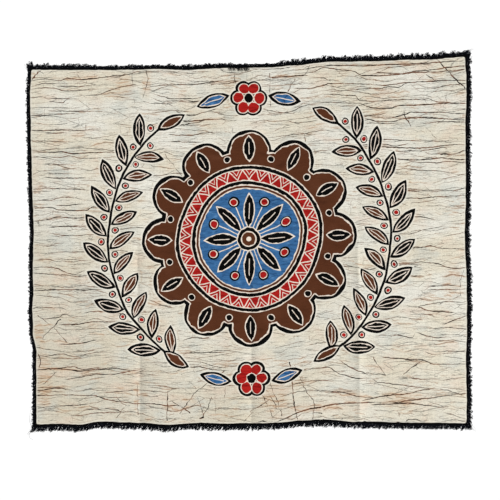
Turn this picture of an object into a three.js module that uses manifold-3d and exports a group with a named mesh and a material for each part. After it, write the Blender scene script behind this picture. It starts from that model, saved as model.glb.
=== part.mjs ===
// A batik wall hanging: one rectangular cotton cloth with a raw edge, hanging by its top edge,
// and a short yarn fringe along each of its four sides. Millimetres, +Z up, the face towards -Y.
// The origin is the middle of the cloth's top edge.

import * as THREE from "three";
import { mergeVertices } from "three/addons/utils/BufferGeometryUtils.js";
import Module from "manifold-3d";

const wasm = await Module();
wasm.setup();

// Cloth: the rectangle it was cut to, and its thickness
const CLOTH_WIDTH = 1080;
const CLOTH_HEIGHT = 888;
const CLOTH_THICKNESS = 1;

// Along the top the cloth lies flat for TOP_BAND, and hangs freely from FREE_FROM_TOP down
const TOP_BAND = 24;
const FREE_FROM_TOP = 260;

// Each edge, by how far it stands out of the cut rectangle at a place along it.
// The places are measured across from the middle, or down from the top.
const TOP_EDGE = [
  { across: -540, out: -4.2 },
  { across: -442, out: -4.2 },
  { across: -368, out: -5.4 },
  { across: -220, out: -3 },
  { across: -146, out: -5 },
  { across: -85, out: -0.5 },
  { across: 52, out: 1.7 },
  { across: 101, out: 5.4 },
  { across: 200, out: 15.3 },
  { across: 299, out: 17.3 },
  { across: 447, out: 21.5 },
  { across: 497, out: 25.5 },
  { across: 540, out: 28.4 },
];
const RIGHT_EDGE = [
  { down: -28, out: -2.7 },
  { down: 84, out: 2.2 },
  { down: 158, out: -0.2 },
  { down: 331, out: -0.2 },
  { down: 430, out: -2.7 },
  { down: 578, out: 2.2 },
  { down: 677, out: 2.2 },
  { down: 727, out: -0.2 },
  { down: 826, out: 2.2 },
  { down: 888, out: -0.2 },
];
const BOTTOM_EDGE = [
  { across: -540, out: 3.2 },
  { across: -480, out: 0.7 },
  { across: -430, out: 3.2 },
  { across: -381, out: -4.2 },
  { across: -282, out: -1.7 },
  { across: -208, out: 3.2 },
  { across: -133, out: -1.7 },
  { across: -84, out: 0.7 },
  { across: 64, out: -1.7 },
  { across: 125, out: -7.4 },
  { across: 188, out: -9.1 },
  { across: 262, out: -4.2 },
  { across: 410, out: -1.7 },
  { across: 540, out: -1 },
];
const LEFT_EDGE = [
  { down: 0, out: 3.7 },
  { down: 60, out: 6.2 },
  { down: 110, out: 6.2 },
  { down: 208, out: 3.7 },
  { down: 307, out: 1.2 },
  { down: 405, out: -2.5 },
  { down: 480, out: 0 },
  { down: 554, out: -1.2 },
  { down: 603, out: 1.2 },
  { down: 653, out: -1.2 },
  { down: 702, out: -8.7 },
  { down: 888, out: -8.7 },
];

// Creases left by storage, folded to quarters across and to half down. Each upright crease stands
// proud of the face where its crest is above zero and is a trough where it is below.
const UPRIGHT_CREASES = [
  { across: -277, upperCrest: -1.2, lowerCrest: 3.2 },
  { across: 0, upperCrest: -0.8, lowerCrest: 3.4 },
  { across: 270, upperCrest: 1, lowerCrest: -3.2 },
];
const LEVEL_CREASE = { down: 445, crest: 1.3 };
const CREASE_SPREAD = 17;
const CREASE_TURNOVER = 45;

// Slow waves of the hanging cloth: wavelengths across and down, swing and phase
const WAVES = [
  { across: 640, down: 2400, swing: 2, phase: 0.4 },
  { across: -330, down: 1300, swing: 1.1, phase: 2.1 },
  { across: 190, down: 640, swing: 0.6, phase: 4 },
];

// The free edges curl a little towards the face
const EDGE_CURL = 3.4;
const CURL_SPREAD = 34;

// Grid of the cloth: steps as shares of each panel between two creases, closer together beside them
const PANEL_STEPS_ACROSS = [0, 0.045, 0.125, 0.245, 0.375, 0.51, 0.645, 0.775, 0.88, 0.955];
const PANEL_STEPS_DOWN = [0, 0.027, 0.054, 0.1, 0.17, 0.26, 0.35, 0.45, 0.55, 0.65, 0.75, 0.84, 0.92, 0.973];

// Fringe: a narrow heading beside the raw edge, with locks of yarn rooted in it
const EDGE_GAP = 0.3;
const HEADING_WIDTH = 3;
const HEADING_THICKNESS = 2.4;
const LOCK_SIDES = 3;
const LOCK_RINGS = 2;
const LOCK_WIDTH = 7.4;
const LOCK_FLATNESS = 0.24;
const LOCK_BELLY = 1.8;
const LOCK_ROOT_DEPTH = 2;
const LOCK_UNEVENNESS = 0.24;
const LOCK_SLANT = 0.34;
const LOCK_TILT = 0.22;
const CORNER_SPREAD = 22;
const CORNER_SLANT = 0.75;
const RANDOM_SEED = 29;

// How far each fringe reaches past the cloth, at its start, its middle stretches and its end, going
// clockwise round the cloth as seen from the front, and how its locks lean along that way
const FRINGES = [
  {
    name: "fringe_top",
    side: "top",
    locks: 84,
    lean: 0.05,
    cornerReach: 1.5,
    reach: [
      { share: 0, length: 9.5 },
      { share: 0.25, length: 7 },
      { share: 0.42, length: 8.5 },
      { share: 0.5, length: 5.5 },
      { share: 0.55, length: 5.5 },
      { share: 0.6, length: 8.5 },
      { share: 1, length: 10 },
    ],
  },
  {
    name: "fringe_right",
    side: "right",
    locks: 66,
    lean: 0.1,
    cornerReach: 1.1,
    reach: [
      { share: 0, length: 10 },
      { share: 1, length: 9.5 },
    ],
  },
  {
    name: "fringe_bottom",
    side: "bottom",
    locks: 84,
    lean: 0.22,
    cornerReach: 1.1,
    reach: [
      { share: 0, length: 10.5 },
      { share: 0.3, length: 12 },
      { share: 0.6, length: 11 },
      { share: 0.8, length: 12 },
      { share: 0.94, length: 13 },
      { share: 1, length: 11 },
    ],
  },
  {
    name: "fringe_left",
    side: "left",
    locks: 66,
    lean: -0.05,
    cornerReach: 1.1,
    reach: [
      { share: 0, length: 7.5 },
      { share: 1, length: 8 },
    ],
  },
];

// Outward direction of each side
const OUTWARD = {
  top: new THREE.Vector3(0, 0, 1),
  right: new THREE.Vector3(1, 0, 0),
  bottom: new THREE.Vector3(0, 0, -1),
  left: new THREE.Vector3(-1, 0, 0),
};
const BACKWARD = new THREE.Vector3(0, 1, 0);

// Finishes
const CREAM_COTTON = new THREE.MeshStandardMaterial({ color: "#d8d0bc", roughness: 0.9, metalness: 0 });
const BLACK_YARN = new THREE.MeshStandardMaterial({ color: "#17171b", roughness: 0.95, metalness: 0 });

// A table's column at a place, eased from each row to the next.
function readTable(rows, place, column, at) {
  const last = rows.length - 1;
  if (at <= rows[0][place]) {
    return rows[0][column];
  }
  if (at >= rows[last][place]) {
    return rows[last][column];
  }
  const next = rows.findIndex((row) => row[place] > at);
  const share = THREE.MathUtils.smoothstep(at, rows[next - 1][place], rows[next][place]);
  return THREE.MathUtils.lerp(rows[next - 1][column], rows[next][column], share);
}

// Where the grid lines lie: on each panel's borders and at the steps between them.
function gridPlaces(borders, steps) {
  const places = [];
  for (let panel = 1; panel < borders.length; panel += 1) {
    for (const step of steps) {
      places.push(THREE.MathUtils.lerp(borders[panel - 1], borders[panel], step));
    }
  }
  places.push(borders[borders.length - 1]);
  return places;
}

// A crease's height at a distance from its line.
function creaseShape(distance) {
  return Math.exp(-Math.abs(distance) / CREASE_SPREAD);
}

// How far the cloth stands out towards the front at a place.
function swell(across, down) {
  const freedom = THREE.MathUtils.smoothstep(down, TOP_BAND, FREE_FROM_TOP);
  const lowerShare = THREE.MathUtils.smoothstep(
    down,
    LEVEL_CREASE.down - CREASE_TURNOVER,
    LEVEL_CREASE.down + CREASE_TURNOVER,
  );
  let height = LEVEL_CREASE.crest * creaseShape(down - LEVEL_CREASE.down);
  for (const crease of UPRIGHT_CREASES) {
    const crest = THREE.MathUtils.lerp(crease.upperCrest, crease.lowerCrest, lowerShare);
    height += crest * creaseShape(across - crease.across);
  }
  for (const wave of WAVES) {
    const turns = across / wave.across + down / wave.down;
    height += wave.swing * Math.sin(2 * Math.PI * turns + wave.phase);
  }
  const fromSide = CLOTH_WIDTH / 2 - Math.abs(across);
  const fromBottom = CLOTH_HEIGHT - down;
  height += EDGE_CURL * Math.exp(-fromSide / CURL_SPREAD);
  height += EDGE_CURL * Math.exp(-fromBottom / CURL_SPREAD);
  return freedom * height;
}

// The middle of the cloth's thickness at a place of the cut rectangle.
function clothPoint(across, down) {
  const rightShare = across / CLOTH_WIDTH + 0.5;
  const bottomShare = down / CLOTH_HEIGHT;
  const rightOut = readTable(RIGHT_EDGE, "down", "out", down);
  const leftOut = readTable(LEFT_EDGE, "down", "out", down);
  const topOut = readTable(TOP_EDGE, "across", "out", across);
  const bottomOut = readTable(BOTTOM_EDGE, "across", "out", across);
  return new THREE.Vector3(
    across + rightShare * rightOut - (1 - rightShare) * leftOut,
    -swell(across, down),
    -down + (1 - bottomShare) * topOut - bottomShare * bottomOut,
  );
}

// A closed slab of one cell in thickness. place gives each corner from its column, its row,
// counted from the low end of the slab's third direction, and whether it is on the back.
function slab(columns, rows, place) {
  const box = new THREE.BoxGeometry(columns, 1, rows, columns, 1, rows);
  box.deleteAttribute("normal");
  box.deleteAttribute("uv");
  const geometry = mergeVertices(box);
  const corners = geometry.getAttribute("position");
  for (let index = 0; index < corners.count; index += 1) {
    const column = Math.round(corners.getX(index) + columns / 2);
    const row = Math.round(corners.getZ(index) + rows / 2);
    const corner = place(column, row, corners.getY(index) > 0);
    corners.setXYZ(index, corner.x, corner.y, corner.z);
  }
  geometry.computeVertexNormals();
  return geometry;
}

// The cloth's grid of points, one list for each row from the top.
function clothGrid() {
  const creasesAcross = UPRIGHT_CREASES.map((crease) => crease.across);
  const bordersAcross = [-CLOTH_WIDTH / 2, ...creasesAcross, CLOTH_WIDTH / 2];
  const bordersDown = [0, LEVEL_CREASE.down, CLOTH_HEIGHT];
  const columns = gridPlaces(bordersAcross, PANEL_STEPS_ACROSS);
  const rows = gridPlaces(bordersDown, PANEL_STEPS_DOWN);
  return rows.map((down) => columns.map((across) => clothPoint(across, down)));
}

function makeCloth(grid) {
  const lastRow = grid.length - 1;
  return slab(grid[0].length - 1, lastRow, (column, row, onBack) => {
    const depth = onBack ? CLOTH_THICKNESS / 2 : -CLOTH_THICKNESS / 2;
    return grid[lastRow - row][column].clone().addScaledVector(BACKWARD, depth);
  });
}

// The points of one edge of the cloth, going clockwise as seen from the front.
function edgeLine(grid, side) {
  const topRow = grid[0];
  const bottomRow = grid[grid.length - 1];
  const lines = {
    top: topRow,
    right: grid.map((row) => row[row.length - 1]),
    bottom: [...bottomRow].reverse(),
    left: grid.map((row) => row[0]).reverse(),
  };
  return lines[side];
}

// The narrow heading beside one edge.
function makeHeading(line, outward) {
  return slab(line.length - 1, 1, (column, row, onBack) => {
    const outwards = EDGE_GAP + row * HEADING_WIDTH;
    const depth = onBack ? HEADING_THICKNESS / 2 : -HEADING_THICKNESS / 2;
    const corner = line[column].clone().addScaledVector(outward, outwards);
    return corner.addScaledVector(BACKWARD, depth);
  });
}

// Place and direction at a distance along an edge line.
function walk(line, distance) {
  let left = distance;
  for (let index = 1; index < line.length; index += 1) {
    const step = line[index - 1].distanceTo(line[index]);
    if (left <= step || index === line.length - 1) {
      return {
        point: line[index - 1].clone().lerp(line[index], left / step),
        along: line[index].clone().sub(line[index - 1]).normalize(),
      };
    }
    left -= step;
  }
  return null;
}

function lineLength(line) {
  let length = 0;
  for (let index = 1; index < line.length; index += 1) {
    length += line[index - 1].distanceTo(line[index]);
  }
  return length;
}

// An uneven value between -1 and 1.
function uneven() {
  return 2 * THREE.MathUtils.seededRandom() - 1;
}

// One lock of yarn, from inside the heading to its tip: a flattened, tapered and bent prism.
function makeLock(root, along, outward, length, slant, tilt) {
  const width = LOCK_WIDTH * (1 + LOCK_UNEVENNESS * uneven());
  const lock = new THREE.ConeGeometry(width / 2, length, LOCK_SIDES, LOCK_RINGS);
  const corners = lock.getAttribute("position");
  for (let index = 0; index < corners.count; index += 1) {
    const share = corners.getY(index) / length + 0.5;
    const belly = share > 0 ? LOCK_BELLY : 1;
    const sideways = corners.getX(index) * belly + slant * length * share * share;
    const forward = corners.getZ(index) * LOCK_FLATNESS * belly + tilt * length * share * share;
    const corner = root.clone().addScaledVector(outward, share * length);
    corner.addScaledVector(along, sideways);
    corner.addScaledVector(BACKWARD, -forward);
    corners.setXYZ(index, corner.x, corner.y, corner.z);
  }
  return lock;
}

// A closed geometry as a solid that can be joined, and back.
function toSolid(geometry) {
  const bare = geometry.clone();
  bare.deleteAttribute("normal");
  bare.deleteAttribute("uv");
  const merged = mergeVertices(bare);
  return new wasm.Manifold(
    new wasm.Mesh({
      numProp: 3,
      vertProperties: new Float32Array(merged.getAttribute("position").array),
      triVerts: new Uint32Array(merged.getIndex().array),
    }),
  );
}

function toGeometry(solid) {
  const mesh = solid.getMesh();
  const geometry = new THREE.BufferGeometry();
  geometry.setAttribute("position", new THREE.BufferAttribute(mesh.vertProperties, 3));
  geometry.setIndex(new THREE.BufferAttribute(mesh.triVerts, 1));
  geometry.computeVertexNormals();
  return geometry;
}

// How far a lock leans out beyond the end of its side: all at the very end, none in the middle.
function cornerLean(distance, length) {
  const fromStart = THREE.MathUtils.clamp(1 - distance / CORNER_SPREAD, 0, 1);
  const fromEnd = THREE.MathUtils.clamp(1 - (length - distance) / CORNER_SPREAD, 0, 1);
  return fromEnd - fromStart;
}

function makeFringe(grid, fringe) {
  const line = edgeLine(grid, fringe.side);
  const outward = OUTWARD[fringe.side];
  const length = lineLength(line);
  const pitch = length / fringe.locks;
  const solids = [toSolid(makeHeading(line, outward))];
  for (let lock = 0; lock < fringe.locks; lock += 1) {
    const distance = (lock + 0.5) * pitch;
    const corner = cornerLean(distance, length);
    const { point, along } = walk(line, distance);
    const root = point.addScaledVector(outward, EDGE_GAP + HEADING_WIDTH - LOCK_ROOT_DEPTH);
    const reach = readTable(fringe.reach, "share", "length", distance / length);
    const cornerGrowth = THREE.MathUtils.lerp(1, fringe.cornerReach, Math.abs(corner));
    const grown = reach * cornerGrowth * (1 + LOCK_UNEVENNESS * uneven());
    const lockLength = grown - EDGE_GAP - HEADING_WIDTH + LOCK_ROOT_DEPTH;
    const slant = fringe.lean + LOCK_SLANT * uneven() + CORNER_SLANT * corner;
    const tilt = LOCK_TILT * uneven();
    solids.push(toSolid(makeLock(root, along, outward, lockLength, slant, tilt)));
  }
  return toGeometry(wasm.Manifold.union(solids));
}

function named(name, geometry, material) {
  const mesh = new THREE.Mesh(geometry, material);
  mesh.name = name;
  return mesh;
}

THREE.MathUtils.seededRandom(RANDOM_SEED);
const grid = clothGrid();
const hanging = new THREE.Group();
hanging.add(named("cloth", makeCloth(grid), CREAM_COTTON));
for (const fringe of FRINGES) {
  hanging.add(named(fringe.name, makeFringe(grid, fringe), BLACK_YARN));
}

export default hanging;
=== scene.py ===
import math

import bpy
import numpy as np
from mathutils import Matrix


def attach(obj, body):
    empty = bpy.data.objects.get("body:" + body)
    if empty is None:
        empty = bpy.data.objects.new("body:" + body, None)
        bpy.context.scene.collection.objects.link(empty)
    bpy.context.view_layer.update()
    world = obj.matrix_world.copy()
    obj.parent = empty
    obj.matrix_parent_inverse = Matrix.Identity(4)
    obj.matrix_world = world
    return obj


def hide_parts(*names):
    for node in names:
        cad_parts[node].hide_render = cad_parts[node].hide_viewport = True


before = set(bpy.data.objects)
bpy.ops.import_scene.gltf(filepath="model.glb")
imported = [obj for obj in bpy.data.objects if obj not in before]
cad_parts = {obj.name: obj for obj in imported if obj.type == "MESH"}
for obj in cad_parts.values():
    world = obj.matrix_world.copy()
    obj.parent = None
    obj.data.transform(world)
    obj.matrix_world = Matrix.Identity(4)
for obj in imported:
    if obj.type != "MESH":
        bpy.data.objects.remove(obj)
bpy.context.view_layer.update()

# A batik wall hanging: a dyed cotton cloth that hangs by its top edge, with a yarn fringe on each
# side. +Z is up, the face looks towards -Y, and the origin is the middle of the cloth's top edge.
# The cloth's sizes and places are in millimetres here, and MM turns them into metres.

MM = 0.001

# Cloth: the rectangle it was cut to, its thickness and the grid of its mesh
CLOTH_WIDTH = 1080
CLOTH_HEIGHT = 888
CLOTH_THICKNESS = 0.8
GRID_STEP = 5
BESIDE_CREASE = [-6.5, -4, -2, 0, 2, 4, 6.5]

# Along the top the cloth lies flat for TOP_BAND, and hangs freely from FREE_FROM_TOP down
TOP_BAND = 24
FREE_FROM_TOP = 260

# Each edge, by how far it stands out of the cut rectangle at a place along it
TOP_EDGE = {
    "across": [-540, -442, -368, -220, -146, -85, 52, 101, 200, 299, 447, 497, 540],
    "out": [-4.2, -4.2, -5.4, -3, -5, -0.5, 1.7, 5.4, 15.3, 17.3, 21.5, 25.5, 28.4],
}
RIGHT_EDGE = {
    "down": [-28, 84, 158, 331, 430, 578, 677, 727, 826, 888],
    "out": [-2.7, 2.2, -0.2, -0.2, -2.7, 2.2, 2.2, -0.2, 2.2, -0.2],
}
BOTTOM_EDGE = {
    "across": [-540, -480, -430, -381, -282, -208, -133, -84, 64, 125, 188, 262, 410, 540],
    "out": [3.2, 0.7, 3.2, -4.2, -1.7, 3.2, -1.7, 0.7, -1.7, -7.4, -9.1, -4.2, -1.7, -1],
}
LEFT_EDGE = {
    "down": [0, 60, 110, 208, 307, 405, 480, 554, 603, 653, 702, 888],
    "out": [3.7, 6.2, 6.2, 3.7, 1.2, -2.5, 0, -1.2, 1.2, -1.2, -8.7, -8.7],
}

# Creases left by storage, above zero where they stand proud of the face
UPRIGHT_CREASES = [
    {"across": -277, "upper": -1.2, "lower": 5.9},
    {"across": 0, "upper": -0.8, "lower": 4.8},
    {"across": 270, "upper": 1.0, "lower": -5.3},
]
LEVEL_CREASE = {"down": 445, "crest": 1.6}
CREASE_SPREAD = 10
CREASE_ROUNDING = 1.6
CREASE_TURNOVER = 45

# Slow waves of the hanging cloth: wavelengths across and down, swing and phase
WAVES = [
    {"across": 640, "down": 2400, "swing": 2.0, "phase": 0.4},
    {"across": -330, "down": 1300, "swing": 1.1, "phase": 2.1},
    {"across": 190, "down": 640, "swing": 0.6, "phase": 4.0},
]
EDGE_CURL = 3.4
CURL_SPREAD = 34

# Yarn of the fringe. Pairs are ranges that each strand is drawn from, and a single slant or curl
# is the spread of one. A strand's or loop's length is a share of its lock's, and its start a share
# of the lock's width. Slants are sideways for each millimetre out.
HEADING = {"out": 1.65, "offset": 0.75, "radius": 1.05, "twist": 8.0, "step": 1.15, "end": 0.4}
STITCH = {"pitch": 3.1, "inner": (1.6, 3.0), "out": 3.4, "slope": (0.4, 1.4), "radius": 0.42}
CORNER_SPAN = 22
LOCK = {"fill": 0.62, "stray": 1.2, "width": (0.85, 1.35), "slant": (-0.34, 0.34),
        "corner_slant": 0.75, "tilt": (-0.2, 0.2)}
STRAND = {"start": (-0.62, 0.62), "length": (0.62, 1.06), "slant": 0.12, "curl": 0.75, "turn": 4.2,
          "gather": 0.65, "depth": (-1.15, 1.15), "radius": (0.34, 0.6), "taper": 0.45}
LOOP = {"start": (-0.7, 0.7), "length": (0.7, 1.02), "slant": 0.2, "spread": (1.0, 3.0),
        "depth": (-0.8, 0.8), "radius": (0.42, 0.62)}
MAT = {"per_mm": 2.2, "start": (-1.6, 0.4), "length": (0.65, 1.05), "slant": 0.4, "past_end": 1.5,
       "depth": (-0.25, 0.25), "radius": (0.55, 0.85), "taper": 0.4}
TUFT = {"strands": 46, "start": (0, 3.5), "length": (0.55, 1.05), "angle": (0, 0.85),
        "depth": (-0.9, 0.9), "radius": (0.4, 0.7), "taper": 0.5}
STRAY = {"at_corner": 5, "from_corner": (0, 14), "between": 14, "clear": 30, "length": (8, 15),
         "corner_length": 5, "slant": (-0.6, 0.6), "corner_slant": 0.9, "radius": 0.24, "taper": 0.4}
TURNED_BACK = {"strands": 26, "length": (9, 16), "lean": 0.3, "slant": 0.3, "rise": (1.5, 3.4),
               "forward": (0.3, 1.9), "radius": (0.28, 0.48), "taper": 0.45}

# The four fringes, clockwise round the cloth as seen from the front. Shares run along each side,
# and the points of the listed threads are places along it and out of it.
FRINGES = [
    {
        "name": "yarn_fringe_top", "node": "fringe_top", "side": "top",
        "locks": 84, "lean": 0.05, "strands": 20, "loops": 4, "corner": 1.5, "mat": 0.68,
        "uneven": [0.55, 1.25],
        "reach": {"share": [0, 0.25, 0.42, 0.5, 0.55, 0.6, 1],
                  "length": [10.2, 7.8, 9.2, 6, 6, 10.5, 11]},
        "turned_back": {"share": [0.455, 0.497], "locks": 4},
    },
    {
        "name": "yarn_fringe_right", "node": "fringe_right", "side": "right",
        "locks": 118, "lean": 0.1, "strands": 12, "loops": 2, "corner": 1.1, "mat": 0.7,
        "uneven": [0.64, 1.2],
        "reach": {"share": [0, 1], "length": [10, 9.5]},
        "threads": [
            [(878, 2), (884, 8), (892, 14), (899, 20)],
            [(882, 1), (889, 7), (893, 10), (900, 15)],
        ],
    },
    {
        "name": "yarn_fringe_bottom", "node": "fringe_bottom", "side": "bottom",
        "locks": 122, "lean": 0.3, "strands": 18, "loops": 1, "corner": 1.1, "mat": 0.88,
        "uneven": [0.7, 1.16],
        "reach": {"share": [0, 0.3, 0.6, 0.8, 0.94, 1], "length": [12.5, 14, 13, 14, 15, 13]},
        "threads": [
            [(1084, 10), (1100, 22), (1090, 30), (1083, 32)],
            [(1078, 8), (1088, 14), (1094, 15), (1096, 21)],
        ],
    },
    {
        "name": "yarn_fringe_left", "node": "fringe_left", "side": "left",
        "locks": 132, "lean": -0.05, "strands": 12, "loops": 1, "corner": 1.1, "mat": 0.64,
        "uneven": [0.66, 1.2],
        "reach": {"share": [0, 1], "length": [6.3, 6.8]},
        "threads": [[(0, 4), (6, 14), (26, 11), (42, 9)]],
    },
]


# Cloth shape

def read_table(table, place, column, at):
    """A table's column at places, eased from each row to the next."""
    places = np.array(table[place], float)
    values = np.array(table[column], float)
    after = np.clip(np.searchsorted(places, at, side="right"), 1, len(places) - 1)
    share = (at - places[after - 1]) / (places[after] - places[after - 1])
    share = ease_share(share)
    return values[after - 1] + (values[after] - values[after - 1]) * share


def ease_share(share):
    """A share between 0 and 1, slow at both ends."""
    share = np.clip(share, 0, 1)
    return share * share * (3 - 2 * share)


def crease_shape(distance):
    """1 on a crease, falling away on both sides."""
    rounded = np.sqrt(distance**2 + CREASE_ROUNDING**2) - CREASE_ROUNDING
    return np.exp(-rounded / CREASE_SPREAD)


def swell(across, down):
    """How far the cloth stands out towards the front."""
    freedom = ease_share((down - TOP_BAND) / (FREE_FROM_TOP - TOP_BAND))
    turn_start = LEVEL_CREASE["down"] - CREASE_TURNOVER
    lower = ease_share((down - turn_start) / (2 * CREASE_TURNOVER))
    height = LEVEL_CREASE["crest"] * crease_shape(down - LEVEL_CREASE["down"])
    for crease in UPRIGHT_CREASES:
        crest = crease["upper"] + (crease["lower"] - crease["upper"]) * lower
        height = height + crest * crease_shape(across - crease["across"])
    for wave in WAVES:
        turns = across / wave["across"] + down / wave["down"]
        height = height + wave["swing"] * np.sin(2 * math.pi * turns + wave["phase"])
    from_side = CLOTH_WIDTH / 2 - np.abs(across)
    from_bottom = CLOTH_HEIGHT - down
    height = height + EDGE_CURL * np.exp(-np.maximum(from_side, 0) / CURL_SPREAD)
    height = height + EDGE_CURL * np.exp(-np.maximum(from_bottom, 0) / CURL_SPREAD)
    return freedom * height


def cloth_point(across, down):
    """The middle of the cloth's thickness at places of the cut rectangle, as x, y, z."""
    right_share = across / CLOTH_WIDTH + 0.5
    bottom_share = down / CLOTH_HEIGHT
    right = read_table(RIGHT_EDGE, "down", "out", down)
    left = read_table(LEFT_EDGE, "down", "out", down)
    top = read_table(TOP_EDGE, "across", "out", across)
    bottom = read_table(BOTTOM_EDGE, "across", "out", across)
    x = across + right_share * right - (1 - right_share) * left
    z = -down + (1 - bottom_share) * top - bottom_share * bottom
    return np.stack([x, -swell(across, down), z], axis=-1)


# Meshes

def new_piece(name, vertices, faces):
    """A mesh object from points in millimetres."""
    mesh = bpy.data.meshes.new(name)
    mesh.from_pydata((vertices * MM).tolist(), [], faces)
    mesh.update()
    piece = bpy.data.objects.new(name, mesh)
    bpy.context.scene.collection.objects.link(piece)
    return piece


def shade_smooth(piece):
    """Lets light run on smoothly from each face to the next."""
    smooth = np.ones(len(piece.data.polygons), bool)
    piece.data.polygons.foreach_set("use_smooth", smooth)


def grid_places(start, end, creases):
    """Places for grid lines, an even step apart but closer beside the creases."""
    even = np.linspace(start, end, round((end - start) / GRID_STEP) + 1)
    for crease in creases:
        even = even[np.abs(even - crease) > BESIDE_CREASE[-1] + GRID_STEP / 3]
    beside = [crease + offset for crease in creases for offset in BESIDE_CREASE]
    return np.sort(np.concatenate([even, beside]))


def rim_quads(near, far):
    """Faces between a line of points on one side of the cloth and the same line on the other."""
    return np.stack([near[:-1], near[1:], far[1:], far[:-1]], axis=-1)


def sheet_quads(shape):
    """Faces of a closed sheet of two grids of points: its face, its back and its four rims."""
    front = np.arange(shape[0] * shape[1]).reshape(shape)
    back = front + front.size
    corners = (front[:-1, :-1], front[1:, :-1], front[1:, 1:], front[:-1, 1:])
    face_quads = np.stack(corners, axis=-1).reshape(-1, 4)
    back_quads = face_quads[:, ::-1] + front.size
    rims = [
        rim_quads(front[0], back[0]),
        rim_quads(front[-1, ::-1], back[-1, ::-1]),
        rim_quads(front[::-1, 0], back[::-1, 0]),
        rim_quads(front[:, -1], back[:, -1]),
    ]
    return face_quads, back_quads, np.concatenate(rims)


def lay_uv(mesh, name, places):
    layer = mesh.uv_layers.new(name=name)
    layer.uv.foreach_set("vector", places.astype(np.float32).ravel())


# Parts of the baked picture that the cloth's face and back take up
BAKE_FACE = {"start": (0.01, 0.37), "size": (0.98, 0.62)}
BAKE_BACK = {"start": (0.01, 0.02), "size": (0.98, 0.33)}


def make_cloth():
    """The cloth as a closed thin sheet. Its first UV map holds each place of the cut cloth, in
    metres, and its second lays the face and the back side by side for baking."""
    upright = [crease["across"] for crease in UPRIGHT_CREASES]
    across, down = np.meshgrid(
        grid_places(-CLOTH_WIDTH / 2, CLOTH_WIDTH / 2, upright),
        grid_places(0, CLOTH_HEIGHT, [LEVEL_CREASE["down"]]),
    )
    middle = cloth_point(across, down)
    half = np.array([0, CLOTH_THICKNESS / 2, 0])
    vertices = np.concatenate([(middle - half).reshape(-1, 3), (middle + half).reshape(-1, 3)])
    face_quads, back_quads, rims = sheet_quads(across.shape)
    quads = np.concatenate([face_quads, back_quads, rims])
    cloth = new_piece("dyed_cloth", vertices, quads.tolist())
    shade_smooth(cloth)
    looks = np.zeros(len(quads), np.int32)
    looks[len(face_quads):2 * len(face_quads)] = 1
    cloth.data.polygons.foreach_set("material_index", looks)
    point = np.empty(len(cloth.data.loops), np.int32)
    cloth.data.loops.foreach_get("vertex_index", point)
    point = point % across.size
    places = np.stack([across.ravel(), down.ravel()], axis=-1)
    lay_uv(cloth.data, "cut_cloth", places[point] * MM)
    shares = places * [1 / CLOTH_WIDTH, -1 / CLOTH_HEIGHT] + [0.5, 1]
    on_back = np.repeat(looks == 1, 4)[:, None]
    spread = np.where(on_back, shares[point] * BAKE_BACK["size"] + BAKE_BACK["start"],
                      shares[point] * BAKE_FACE["size"] + BAKE_FACE["start"])
    lay_uv(cloth.data, "OFBake", spread)
    return cloth


def tube_arrays(paths, radii, sides, axis):
    """Vertices and faces of closed tubes. paths is tubes x points x 3, radii tubes x points, and
    axis a direction that no tube runs along."""
    tubes, points, _ = paths.shape
    ahead = np.gradient(paths, axis=1)
    ahead /= np.linalg.norm(ahead, axis=2, keepdims=True)
    aside = np.cross(ahead, np.array(axis, float))
    aside /= np.linalg.norm(aside, axis=2, keepdims=True)
    across = np.cross(aside, ahead)
    angles = np.arange(sides) * 2 * math.pi / sides
    ring = np.cos(angles)[:, None] * aside[:, :, None] + np.sin(angles)[:, None] * across[:, :, None]
    vertices = paths[:, :, None] + radii[:, :, None, None] * ring
    index = np.arange(tubes * points * sides).reshape(tubes, points, sides)
    beside = np.roll(index, -1, axis=2)
    walls = np.stack([index[:, :-1], index[:, 1:], beside[:, 1:], beside[:, :-1]], axis=-1)
    starts = index[:, 0]
    ends = index[:, -1, ::-1]
    return vertices.reshape(-1, 3), [walls.reshape(-1, 4), starts, ends]


def join_tubes(name, groups):
    """One object of several groups of tubes."""
    vertices = []
    faces = []
    count = 0
    for paths, radii, sides, axis in groups:
        places, lists = tube_arrays(paths, radii, sides, axis)
        vertices.append(places)
        for group in lists:
            faces.extend((group + count).tolist())
        count += len(places)
    piece = new_piece(name, np.concatenate(vertices), faces)
    shade_smooth(piece)
    return piece


# Fringe

FACE_AXIS = (0, 1, 0)


def side_length(side):
    """How long the cut cloth's side is."""
    return CLOTH_WIDTH if side in ("top", "bottom") else CLOTH_HEIGHT


def side_axis(side):
    """The direction that a side runs in."""
    return (1, 0, 0) if side in ("top", "bottom") else (0, 0, 1)


def beside_edge(side, travel, out, forward):
    """Places beside an edge: travel along it clockwise, out from the cloth, and forward of it."""
    half = CLOTH_WIDTH / 2
    flat = np.zeros_like(travel)
    across, down, direction = {
        "top": (travel - half, flat, (0, 0, 1)),
        "right": (flat + half, travel, (1, 0, 0)),
        "bottom": (half - travel, flat + CLOTH_HEIGHT, (0, 0, -1)),
        "left": (flat - half, CLOTH_HEIGHT - travel, (-1, 0, 0)),
    }[side]
    places = cloth_point(across, down)
    places = places + out[..., None] * np.array(direction, float)
    return places - forward[..., None] * np.array([0.0, 1.0, 0.0])


def heading(side):
    """Two plies twisted together along the raw edge."""
    length = side_length(side)
    end = HEADING["end"]
    travel = np.tile(np.linspace(end, length - end, int(length / HEADING["step"])), (2, 1))
    turn = 2 * math.pi * travel / HEADING["twist"]
    turn[1] += math.pi
    out = HEADING["out"] + HEADING["offset"] * np.cos(turn)
    forward = HEADING["offset"] * np.sin(turn)
    radii = HEADING["radius"] * (1 + 0.08 * np.sin(travel * 1.7))
    return beside_edge(side, travel, out, forward), radii, 5, FACE_AXIS


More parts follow.
